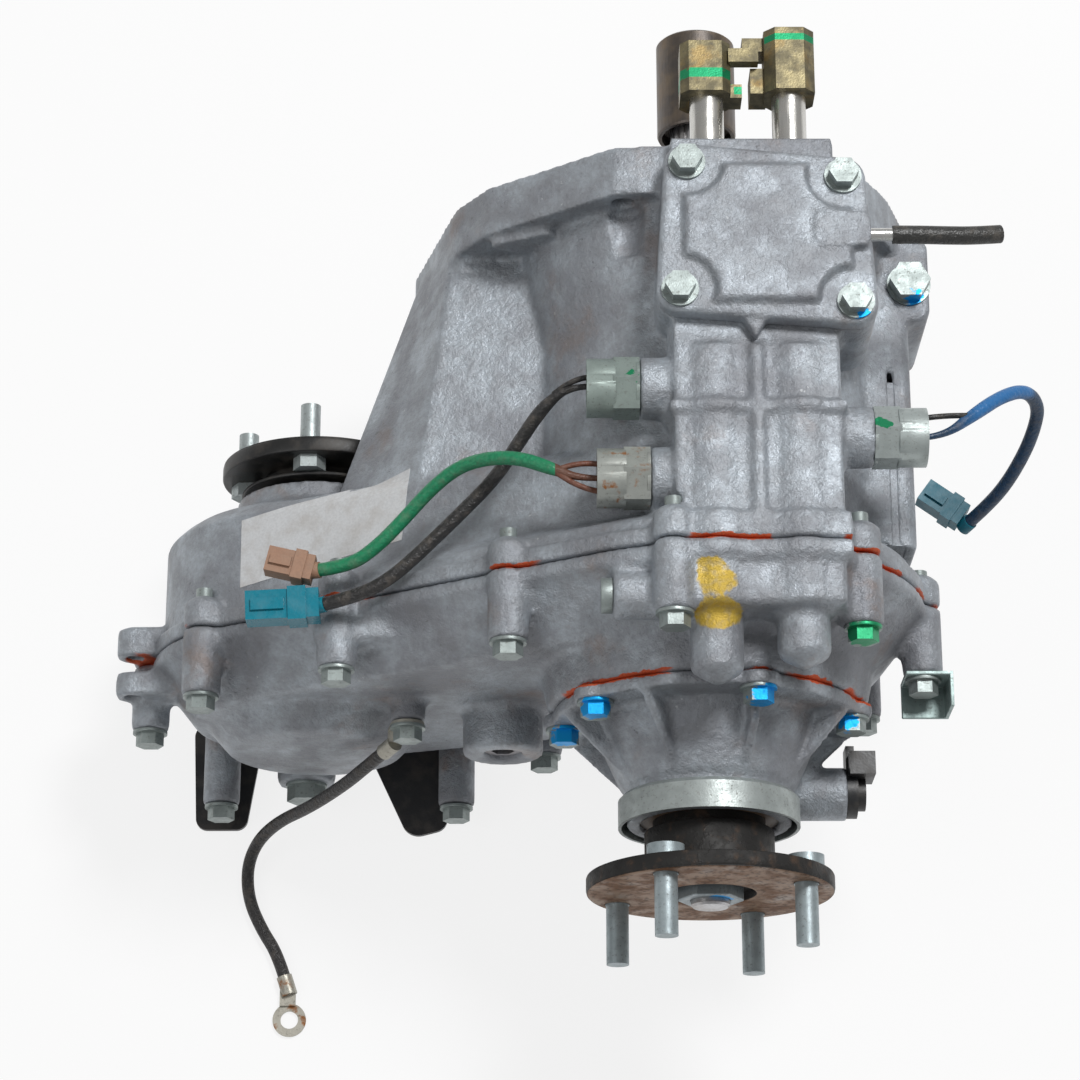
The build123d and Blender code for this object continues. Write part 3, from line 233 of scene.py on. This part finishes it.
seam_bead = (ORANGE, sealant(-197.0, -195.0, 0.035, 0.48), 0.1)
extension_bead = (ORANGE, sealant(-247.2, -245.0, 0.03, 0.45, within=79), 0.1)
yellow_places = [(-3, -210, 103, 8), (-1, -216, 99, 12), (-1, -219.5, 93, 14), (0, -225, 97, 12)]
yellow_patch = (YELLOW, patch_of_paint(yellow_places, ragged=1.2), 0.0)
EXTENSION_DABS = [(-53, -256, 45, 8), (22, -256, 66, 8), (-66, -256, -2, 7), (64, -254, 18, 6)]
LOW_SWITCH_DABS = [(-37, -117, 100, 3)]
DRIVE_SWITCH_DABS = [(76, -140, 101, 4)]


def plated_steel(name, base=(0.33, 0.375, 0.365), rust=0.0, dabs=(), paint=CYAN, dull=0.0):
    """Zinc plate: pale grey-green, slightly cloudy, with paint dabs and rust where given."""
    f = Finish(name, metallic=0.6)
    cloud = f.noise(0.006, 0.3, 0.75, detail=4)
    speck = f.noise(0.0014, 0.58, 0.7, detail=2)
    tone = f.mix(base, tuple(v * 0.62 for v in base), cloud * 0.6 + dull)
    tone = f.mix(tone, (0.16, 0.15, 0.13), speck * 0.4)
    rough = 0.40 + cloud * 0.12 + speck * 0.15
    if rust:
        worn = f.noise(0.008, 0.62 - rust * 0.3, 0.72 - rust * 0.2, detail=6)
        tone = f.mix(tone, (0.30, 0.13, 0.045), worn)
        rough = rough + worn * 0.25
    for *point, reach in dabs:
        dab = f.near(point, reach, soft=0.15, ragged=3.0)
        tone = f.mix(tone, paint, dab)
    f.set("Base Color", tone)
    f.set("Roughness", rough)
    f.bump(cloud * 0.4 + f.noise(0.0008, 0.3, 0.7) * 0.4, 0.00012, 0.5)
    return f.material


def machined(name, base, rough, metallic=0.9, along=(1, 1, 1), tint=(0.3, 0.22, 0.14), stain=0.25):
    """Turned or ground steel, with fine tool lines and light staining."""
    f = Finish(name, metallic=metallic)
    lines = f.noise(0.0012, 0.3, 0.7, place=f.stretched(*along))
    cloud = f.noise(0.012, 0.4, 0.75, detail=5)
    tone = f.mix(base, tuple(v * 0.7 for v in base), lines * 0.5)
    tone = f.mix(tone, tint, cloud * stain)
    f.set("Base Color", tone)
    f.set("Roughness", rough + lines * 0.08 + cloud * 0.12)
    f.bump(lines, 0.00006, 0.4)
    return f.material


def rusty_flange():
    """Machined flange: brown rust film on the face and black scale on the rim and hub."""
    f = Finish("rusty_flange", metallic=0.45)
    film = f.noise(0.010, 0.35, 0.65, detail=6)
    pit = f.noise(0.0025, 0.5, 0.66, detail=3)
    face = f.mix((0.27, 0.175, 0.115), (0.16, 0.075, 0.035), film)
    face = f.mix(face, (0.42, 0.40, 0.38), f.noise(0.018, 0.56, 0.72, detail=4) * 0.5)
    face = f.mix(face, (0.07, 0.045, 0.03), pit * 0.6)
    scale = f.mix((0.022, 0.021, 0.02), (0.09, 0.055, 0.035), f.noise(0.007, 0.5, 0.8, detail=5))
    tone = f.mix(scale, face, f.band("Y", -333.0, -331.6, 0.2))
    f.set("Base Color", tone)
    f.set("Roughness", 0.5 + film * 0.2)
    f.bump(pit + film * 0.4, 0.00015, 0.6)
    return f.material


def chromate():
    """Yellow chromate, worn and smoky, with green marker stripes across the heads."""
    f = Finish("yellow_chromate", metallic=0.7)
    cloud = f.noise(0.007, 0.3, 0.7, detail=5)
    tone = f.mix((0.26, 0.22, 0.12), (0.125, 0.11, 0.07), cloud)
    tone = f.mix(tone, (0.36, 0.22, 0.06), f.noise(0.012, 0.55, 0.7, detail=3) * 0.4)
    tone = f.mix(tone, (0.10, 0.09, 0.08), f.noise(0.002, 0.58, 0.7) * 0.5)
    first = f.band("Y", 34.0, 38.5, 0.4) * f.band("X", -20, 12.0, 0.4)
    second = f.band("Y", 53.5, 56.5, 0.4) * f.band("X", 27.5, 52, 0.4)
    finger = f.band("Y", 29.0, 32.5, 0.4) * f.band("X", 13.0, 18.0, 0.4)
    stripe = (first + second + finger) * f.noise(0.004, 0.28, 0.38)
    f.set("Base Color", f.mix(tone, GREEN, stripe.clipped()))
    f.set("Roughness", 0.36 + cloud * 0.18)
    f.bump(cloud + f.noise(0.001, 0.3, 0.7) * 0.4, 0.00012, 0.5)
    return f.material


def moulded(name, base, rough=0.45, dust=0.15, coat=0.0):
    """Moulded plastic or rubber with a fine texture and a little dust."""
    f = Finish(name, metallic=0.0, coat_weight=coat)
    cloud = f.noise(0.010, 0.4, 0.75, detail=4)
    fine = f.noise(0.0012, 0.3, 0.7)
    tone = f.mix(base, tuple(v * 0.6 for v in base), fine * 0.3)
    tone = f.mix(tone, (0.30, 0.25, 0.20), cloud * dust)
    f.set("Base Color", tone)
    f.set("Roughness", rough + cloud * 0.15)
    f.bump(fine, 0.00006, 0.4)
    return f.material


ALUMINIUM = cast_aluminium("cast_aluminium")
NUT_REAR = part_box("rear_flange_nut")[0].y * 1000
LOOKS = {
    "front_case": cast_aluminium("cast_front_case", [seam_bead]),
    # the rear casing is made evenly darker and warmer all over
    "rear_case": cast_aluminium("cast_rear_case", [seam_bead, extension_bead, yellow_patch], darkening=0.12),
    "extension_housing": cast_aluminium("cast_extension", [extension_bead]),
    "top_cover": ALUMINIUM,
    "cover_bolts": plated_steel("plated_cover_bolts", dabs=[(67, -92, 110, 5)]),
    "case_bolts": plated_steel("plated_case_bolts", dabs=[(66, -233, 84, 9)], paint=GREEN),
    "extension_bolts": plated_steel("plated_extension_bolts", dabs=EXTENSION_DABS),
    "side_bolt": plated_steel("plated_side_bolt", dabs=[(101, -48, 31, 5)]),
    "ground_bolt": plated_steel("plated_ground_bolt"),
    "drain_plug": plated_steel("plated_drain_plug"),
    "filler_plug": machined("filler_plug_steel", (0.30, 0.30, 0.32), 0.4),
    "detent_plug": plated_steel("plated_detent_plug"),
    "breather_nipple": machined("nipple_steel", (0.72, 0.72, 0.70), 0.22, along=(0.2, 1, 1), stain=0.1),
    "low_range_switch": plated_steel(
        "plated_low_range_switch", base=(0.36, 0.43, 0.40), dabs=LOW_SWITCH_DABS, paint=GREEN
    ),
    "neutral_switch": plated_steel("plated_neutral_switch", base=(0.43, 0.45, 0.42), rust=0.2),
    "front_drive_switch": plated_steel(
        "plated_front_drive_switch", base=(0.45, 0.50, 0.49), dabs=DRIVE_SWITCH_DABS, paint=GREEN
    ),
    "dust_deflector": plated_steel("plated_deflector", base=(0.42, 0.46, 0.45), dull=0.1),
    "rear_flange_studs": plated_steel("plated_studs", base=(0.36, 0.42, 0.44)),
    "front_flange_bolts": plated_steel("plated_flange_bolts", base=(0.45, 0.50, 0.50)),
    "rear_flange_nut": plated_steel("plated_rear_nut", base=(0.34, 0.39, 0.41), dabs=[(3, NUT_REAR, 5, 7)]),
    "front_flange_nut": plated_steel("plated_front_nut"),
    "ground_terminals": plated_steel("plated_terminals", base=(0.46, 0.44, 0.38), rust=0.2),
    "harness_bracket": plated_steel("plated_bracket", base=(0.30, 0.38, 0.37)),
    "lower_guard": moulded("black_guard", (0.022, 0.022, 0.024), 0.4, dust=0.12),
    "front_flange": moulded("black_flange", (0.014, 0.014, 0.014), 0.42, dust=0.14),
    "rear_flange": rusty_flange(),
    "input_sleeve": machined("dark_sleeve", (0.13, 0.115, 0.105), 0.36, 0.85, along=(1, 0.12, 1), stain=0.5),
    "high_low_rod": machined("polished_rod", (0.66, 0.65, 0.62), 0.2, along=(1, 0.08, 1), stain=0.15),
    "front_drive_rod": machined("polished_rod_two", (0.66, 0.65, 0.62), 0.2, along=(1, 0.08, 1), stain=0.15),
    "high_low_fork": machined("fork_iron", (0.25, 0.25, 0.26), 0.55, 0.5),
    "front_drive_fork": machined("fork_iron_two", (0.25, 0.25, 0.26), 0.55, 0.5),
    "speed_sensor": moulded("sensor_plastic", (0.022, 0.023, 0.025), 0.38, dust=0.12),
    "input_seal": moulded("seal_rubber", (0.035, 0.03, 0.028), 0.5),
    "rear_output_seal": moulded("rear_seal_rubber", (0.16, 0.09, 0.045), 0.5, dust=0.4),
    "front_output_seal": moulded("front_seal_rubber", (0.12, 0.08, 0.05), 0.5),
    "low_range_connector": moulded("teal_plug", (0.0, 0.20, 0.28), 0.25, dust=0.05),
    "front_drive_connector": moulded("teal_plug_two", (0.0, 0.13, 0.19), 0.45, dust=0.03),
    "neutral_connector": moulded("brown_plug", (0.34, 0.19, 0.12), 0.5, dust=0.25),
}
CHROMATE = chromate()
STEEL = machined("machined_steel", (0.50, 0.50, 0.51), 0.3)
for name, node in nodes.items():
    look = LOOKS.get(name)
    if look is None:
        look = CHROMATE if name.endswith("rod_head") else STEEL
    node.data.materials.clear()
    node.data.materials.append(look)


# Cast and rounded edges on the carried-over solids


def soft_casting(name, voxel, rounds, kept=1.0):
    """Gives a casting its small fillets: its solid is remade from cells and smoothed."""
    node = nodes[name]
    cells = node.modifiers.new("cells", "REMESH")
    cells.mode = "VOXEL"
    cells.voxel_size = voxel
    cells.use_smooth_shade = True
    ease = node.modifiers.new("ease", "SMOOTH")
    ease.factor = 0.5
    ease.iterations = rounds
    if kept < 1.0:
        fewer = node.modifiers.new("fewer", "DECIMATE")
        fewer.ratio = kept


def eased_edges(name, width, segments=2):
    """A small rolled edge on a machined or pressed piece."""
    node = nodes[name]
    join = node.modifiers.new("join", "WELD")
    join.merge_threshold = 0.00001
    edge = node.modifiers.new("edge", "BEVEL")
    edge.width = width
    edge.segments = segments
    edge.limit_method = "ANGLE"
    edge.angle_limit = math.radians(35)
    edge.use_clamp_overlap = True


# Camera

SENSOR_WIDTH = 36.0
FOCAL_PIXELS = 3090
PICTURE_PIXELS = 1080
TARGET = Vector((-0.078, -0.160, 0.0))
EYE = Vector((-0.078, -0.646, 1.388))
lens_camera = bpy.data.cameras.new("camera")
lens_camera.sensor_width = SENSOR_WIDTH
lens_camera.lens = SENSOR_WIDTH * FOCAL_PIXELS / PICTURE_PIXELS
lens_camera.clip_start = 0.05
camera = bpy.data.objects.new("camera", lens_camera)
camera.location = EYE
camera.rotation_euler = (TARGET - EYE).to_track_quat("-Z", "Y").to_euler()
bpy.context.collection.objects.link(camera)
bpy.context.scene.camera = camera


# Cords, by the route's points in millimetres

HOSE = [(82, -51.7, 110), (94, -51.7, 110), (107, -51.6, 109), (120, -50.6, 106.6), (132, -48.4, 103.6)]
LOW_RANGE_LEAD = [
    (-54.0, -117.0, 88.0),
    (-65.0, -117.0, 88.0),
    (-76.2, -123.5, 80.5),
    (-86.0, -134.5, 70.0),
    (-98.2, -150.8, 60.0),
    (-113.8, -164.9, 53.0),
    (-129.4, -179.6, 49.0),
    (-145.9, -194.4, 45.5),
    (-161.6, -201.6, 41.0),
    (-177.0, -203.8, 36.0),
]
NEUTRAL_LEAD = [
    (-49.5, -161.5, 88.0),
    (-61.0, -161.5, 88.0),
    (-73.5, -156.1, 87.0),
    (-87.0, -149.8, 83.0),
    (-101.6, -147.1, 76.0),
    (-115.5, -148.1, 67.0),
    (-128.5, -156.0, 58.0),
    (-140.1, -166.8, 50.0),
    (-152.5, -179.0, 46.0),
    (-165.5, -187.4, 42.0),
    (-179.5, -187.9, 38.0),
]
FRONT_DRIVE_LEAD = [
    (93.0, -142.0, 88.0),
    (104.0, -141.5, 88.0),
    (119.5, -128.4, 83.0),
    (133.5, -116.4, 75.0),
    (146.5, -109.0, 64.0),
    (154.3, -111.7, 51.0),
    (153.6, -118.6, 38.0),
    (150.1, -126.4, 24.0),
    (143.4, -135.6, 8.0),
    (135.5, -141.6, -6.0),
    (129.4, -145.1, -15.0),
]
GROUND_CABLE = [
    (-153.8, -248.3, -59.3),
    (-164.0, -252.8, -73.0),
    (-174.2, -256.5, -89.0),
    (-193.3, -260.6, -118.0),
    (-210.1, -261.7, -141.0),
    (-222.8, -267.2, -160.0),
    (-229.0, -278.6, -171.0),
    (-228.0, -295.0, -174.5),
    (-220.8, -310.7, -174.7),
    (-212.6, -323.0, -174.6),
    (-208.6, -335.0, -174.5),
]


def route(name, points, radius, thin=None):
    """A round cord on a smooth line through its route; thin gives the share of its radius at each point."""
    curve = bpy.data.curves.new(name, "CURVE")
    curve.dimensions = "3D"
    curve.bevel_depth = radius / 1000
    curve.bevel_resolution = 5
    curve.resolution_u = 10
    curve.use_fill_caps = True
    spline = curve.splines.new("NURBS")
    spline.points.add(len(points) - 1)
    for point, place in zip(spline.points, points):
        point.co = (*(v / 1000 for v in place), 1.0)
    spline.order_u = 3
    spline.use_endpoint_u = True
    for point, share in zip(spline.points, thin or []):
        point.radius = share
    cord = bpy.data.objects.new(name, curve)
    bpy.context.collection.objects.link(cord)
    return cord


def measure(points):
    """The length in metres of the smooth line through a route."""
    line = route("measured_line", points, 0.0)
    line.data.bevel_depth = 0.0
    line.data.use_fill_caps = False
    mesh = bpy.data.meshes.new_from_object(line)
    ends = [[mesh.vertices[i].co for i in edge.vertices] for edge in mesh.edges]
    total = sum((one - two).length for one, two in ends)
    bpy.data.objects.remove(line)
    return total


def cord_finish(name, base, stripe=None, ragged=0.0):
    """Sleeve on a lead, with fine wrinkles, scuffs and dust."""
    f = Finish(name, metallic=0.0)
    scuff = f.noise(0.005, 0.45, 0.75, detail=4)
    wrinkle = f.noise(0.0018, 0.3, 0.7, detail=2)
    tone = f.mix(base, tuple(v * 0.55 for v in base), wrinkle * 0.5)
    tone = f.mix(tone, (0.26, 0.22, 0.18), scuff * 0.22)
    if stripe:
        where, colour = stripe
        tone = f.mix(tone, colour, where(f))
    f.set("Base Color", tone)
    f.set("Roughness", 0.42 + scuff * 0.2)
    f.bump(wrinkle + scuff * 0.5, 0.0004, 0.5 + ragged)
    return f.material


BLACK_HOSE = cord_finish("black_hose", (0.035, 0.035, 0.033))
DARK_TAPE = cord_finish("dark_tape", (0.03, 0.028, 0.028), ragged=0.4)
BLACK_SLEEVE = cord_finish("black_sleeve", (0.028, 0.027, 0.027), ragged=0.3)
brown_start = (lambda f: f.band("X", -71, -40, 0.5), (0.12, 0.05, 0.03))
bright_start = (lambda f: f.band("Z", 66, 84, 5.0), (0.02, 0.14, 0.36))
GREEN_SLEEVE = cord_finish("green_sleeve", (0.01, 0.23, 0.10), brown_start)
BLUE_SLEEVE = cord_finish("blue_sleeve", (0.012, 0.045, 0.10), bright_start)
BROWN_WIRE = cord_finish("brown_wire", (0.16, 0.055, 0.03))
BLACK_WIRE = cord_finish("black_wire", (0.02, 0.02, 0.02))

# share of the sleeve's radius at the first two points, where a single wire shows
AT_SWITCH = [0.42, 0.42]
for name, points, radius, look, start in [
    ("breather_hose", HOSE, 4.2, BLACK_HOSE, []),
    ("low_range_lead", LOW_RANGE_LEAD, 3.2, BLACK_SLEEVE, AT_SWITCH),
    ("neutral_lead", NEUTRAL_LEAD, 3.2, GREEN_SLEEVE, AT_SWITCH),
    ("front_drive_lead", FRONT_DRIVE_LEAD, 3.2, BLUE_SLEEVE, AT_SWITCH),
    ("ground_cable", GROUND_CABLE, 3.2, DARK_TAPE, []),
]:
    cord = route(name + "_shown", points, radius, start)
    cord.data.materials.append(look)
    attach(cord, "case")
    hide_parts(name)

WIRE_RADIUS = 1.3


def wire(name, points, look):
    """A thin wire between a switch and the mouth of its sleeve."""
    made = route(name, points, WIRE_RADIUS)
    made.data.materials.append(look)
    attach(made, "case")
    return made


low_wire = wire("low_range_wire", [(-54, -112.6, 88), (-62, -112.4, 89), (-72, -119.5, 84.6)], BLACK_WIRE)
UPPER_WIRE = [(-49.5, -155.0, 88), (-60, -153.6, 89.4), (-70, -157.2, 87.8)]
LOWER_WIRE = [(-49.5, -168.0, 88), (-60, -167.4, 89.4), (-70, -159.0, 87.8)]
upper_wire = wire("neutral_wire_one", UPPER_WIRE, BROWN_WIRE)
lower_wire = wire("neutral_wire_two", LOWER_WIRE, BROWN_WIRE)
drive_wire = wire("front_drive_wire", [(93, -133.0, 88), (103, -131.4, 89), (117, -129.8, 84.4)], BLACK_WIRE)

CORD_FACTS = {
    "breather_hose": (HOSE, 0.0084, "bare", []),
    "low_range_lead": (LOW_RANGE_LEAD, 0.0064, "connector", [nodes["low_range_connector"], low_wire]),
    "neutral_lead": (NEUTRAL_LEAD, 0.0064, "connector", [nodes["neutral_connector"], upper_wire, lower_wire]),
    "front_drive_lead": (FRONT_DRIVE_LEAD, 0.0064, "connector", [nodes["front_drive_connector"], drive_wire]),
    "ground_cable": (GROUND_CABLE, 0.0064, "fitting", [nodes["ground_terminals"]]),
}
for name, (points, wide, end, extras) in CORD_FACTS.items():
    length = measure(points)
    leave = tuple(v / 1000 for v in points[0])
    length = round(length, 4)


# Softened castings and rolled edges

soft_casting("front_case", 0.0016, 4, kept=0.38)
soft_casting("rear_case", 0.0022, 3)
soft_casting("extension_housing", 0.0014, 3)
soft_casting("top_cover", 0.0011, 3)
for name in ("cover_bolts", "case_bolts", "extension_bolts", "side_bolt", "ground_bolt", "drain_plug"):
    eased_edges(name, 0.0006)
for name in ("low_range_switch", "neutral_switch", "front_drive_switch", "detent_plug"):
    eased_edges(name, 0.0006)
for name in ("high_low_rod_head", "front_drive_rod_head", "front_flange", "rear_flange", "rear_flange_nut"):
    eased_edges(name, 0.0010)
for name in ("harness_bracket", "low_range_connector", "neutral_connector", "front_drive_connector"):
    eased_edges(name, 0.0005)


# Core behind the neck's right wall, whose room the solid leaves open at the rear and thin at its edges

NECK_SIDE_R = 5.5
NECK_SIDE_X = 93.0
NECK_SIDE_Z = 22.0
CORE_INSET = 3.0
CORE_REAR = -172.6
CORE_LENGTH = 82.0
CAVITY_EDGE = 76.5


def neck_side_core():
    """Fills the room to the middle of the wall round it, clear of the gears' cavity."""
    discs = [
        (NECK_SIDE_X - CORE_INSET, NECK_SIDE_Z, NECK_SIDE_R),
        (NECK_SIDE_X - CORE_INSET, -NECK_SIDE_Z, NECK_SIDE_R),
        (30.0, 0.0, 40.0 - CORE_INSET),
    ]
    web = bmesh.new()
    facing = Matrix.Rotation(math.radians(90), 4, "X")
    for y in (CORE_REAR, CORE_REAR + CORE_LENGTH):
        for x, z, radius in discs:
            place = Matrix.Translation(Vector((x, y, z)) / 1000) @ facing
            bmesh.ops.create_circle(web, segments=48, radius=radius / 1000, matrix=place)
    hull = bmesh.ops.convex_hull(web, input=web.verts[:])
    loose = {v for v in hull["geom_interior"] + hull["geom_unused"] if isinstance(v, bmesh.types.BMVert)}
    bmesh.ops.delete(web, geom=list(loose), context="VERTS")
    everything = web.verts[:] + web.edges[:] + web.faces[:]
    edge = Vector((CAVITY_EDGE / 1000, 0, 0))
    bmesh.ops.bisect_plane(web, geom=everything, plane_co=edge, plane_no=(1, 0, 0), clear_inner=True)
    bmesh.ops.holes_fill(web, edges=web.edges[:])
    bmesh.ops.recalc_face_normals(web, faces=web.faces[:])
    mesh = bpy.data.meshes.new("neck_side_core")
    web.to_mesh(mesh)
    web.free()
    core = bpy.data.objects.new("neck_side_core", mesh)
    bpy.context.collection.objects.link(core)
    core.data.materials.append(LOOKS["front_case"])
    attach(core, "case")


neck_side_core()


# Blank label on the chain casing

LABEL_CORNERS = [(-222.3, -142.8), (-139.5, -129.8), (-142.9, -166.4), (-222.0, -177.1)]


def draped_label(name, corners, carrier, lift=0.25, thickness=0.25):
    """A sheet laid from above on the casing between four corners in millimetres."""
    bpy.context.view_layer.update()
    surface = BVHTree.FromObject(carrier, bpy.context.evaluated_depsgraph_get())
    sheet = bmesh.new()
    bmesh.ops.create_grid(sheet, x_segments=36, y_segments=16, size=1.0)
    first, second, third, fourth = (Vector(corner) / 1000 for corner in corners)
    for vert in sheet.verts:
        across = (vert.co.x + 1) / 2
        down = (1 - vert.co.y) / 2
        place = first.lerp(second, across).lerp(fourth.lerp(third, across), down)
        hit, normal, _, _ = surface.ray_cast(Vector((place.x, place.y, 0.3)), Vector((0, 0, -1)))
        vert.co = hit + normal * lift / 1000
    bmesh.ops.recalc_face_normals(sheet, faces=sheet.faces[:])
    bmesh.ops.solidify(sheet, geom=sheet.faces[:], thickness=thickness / 1000)
    bmesh.ops.recalc_face_normals(sheet, faces=sheet.faces[:])
    mesh = bpy.data.meshes.new(name)
    sheet.to_mesh(mesh)
    sheet.free()
    label = bpy.data.objects.new(name, mesh)
    bpy.context.collection.objects.link(label)
    label.data.materials.append(moulded("label_paper", (0.60, 0.61, 0.62), 0.55, dust=0.35))
    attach(label, "case")


draped_label("blank_label", LABEL_CORNERS, nodes["front_case"])


# Floor and light

FLOOR_SIZE = 6.0
FLOOR_GAP = 0.0002
FLOOR_GLOW = 0.82
WORLD_LIGHT = 0.32

def plain_floor():
    bed = bmesh.new()
    bmesh.ops.create_grid(bed, x_segments=1, y_segments=1, size=FLOOR_SIZE)
    mesh = bpy.data.meshes.new("floor")
    bed.to_mesh(mesh)
    bed.free()
    floor = bpy.data.objects.new("floor", mesh)
    floor.location = (0, 0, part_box("lower_guard")[0].z - FLOOR_GAP)
    bpy.context.collection.objects.link(floor)
    look = bpy.data.materials.new("floor")
    look.use_nodes = True
    tree = look.node_tree
    tree.nodes.clear()
    matt = tree.nodes.new("ShaderNodeBsdfDiffuse")
    matt.inputs["Color"].default_value = (0.86, 0.86, 0.86, 1)
    glow = tree.nodes.new("ShaderNodeEmission")
    glow.inputs["Strength"].default_value = 1.0
    ray = tree.nodes.new("ShaderNodeLightPath")
    seen = tree.nodes.new("ShaderNodeMath")
    seen.operation = "MAXIMUM"
    tree.links.new(ray.outputs["Is Camera Ray"], seen.inputs[0])
    tree.links.new(ray.outputs["Is Glossy Ray"], seen.inputs[1])
    seen_through = tree.nodes.new("ShaderNodeMath")
    seen_through.operation = "MAXIMUM"
    tree.links.new(seen.outputs[0], seen_through.inputs[0])
    tree.links.new(ray.outputs["Is Transmission Ray"], seen_through.inputs[1])
    share = tree.nodes.new("ShaderNodeMath")
    share.operation = "MULTIPLY"
    share.inputs[1].default_value = FLOOR_GLOW
    tree.links.new(seen_through.outputs[0], share.inputs[0])
    both = tree.nodes.new("ShaderNodeMixShader")
    tree.links.new(share.outputs[0], both.inputs[0])
    tree.links.new(matt.outputs[0], both.inputs[1])
    tree.links.new(glow.outputs[0], both.inputs[2])
    out = tree.nodes.new("ShaderNodeOutputMaterial")
    tree.links.new(both.outputs[0], out.inputs["Surface"])
    mesh.materials.append(look)


def soft_lamp(name, place, aim, size, power):
    data = bpy.data.lights.new(name, "AREA")
    data.shape = "DISK"
    data.size = size
    data.energy = power
    lamp = bpy.data.objects.new(name, data)
    lamp.location = place
    lamp.rotation_euler = (Vector(aim) - Vector(place)).to_track_quat("-Z", "Y").to_euler()
    bpy.context.collection.objects.link(lamp)


plain_floor()
soft_lamp("key_lamp", (0.6, 0.55, 1.9), (-0.05, -0.16, 0.0), 0.55, 33)
soft_lamp("fill_lamp", (-1.3, -0.7, 1.5), (-0.05, -0.16, 0.0), 1.2, 6)
world = bpy.data.worlds.new("studio")
world.use_nodes = True
world.node_tree.nodes["Background"].inputs["Color"].default_value = (1, 1, 1, 1)
world.node_tree.nodes["Background"].inputs["Strength"].default_value = WORLD_LIGHT
bpy.context.scene.world = world
bpy.context.scene.view_settings.view_transform = "Standard"

bpy.context.view_layer.update()
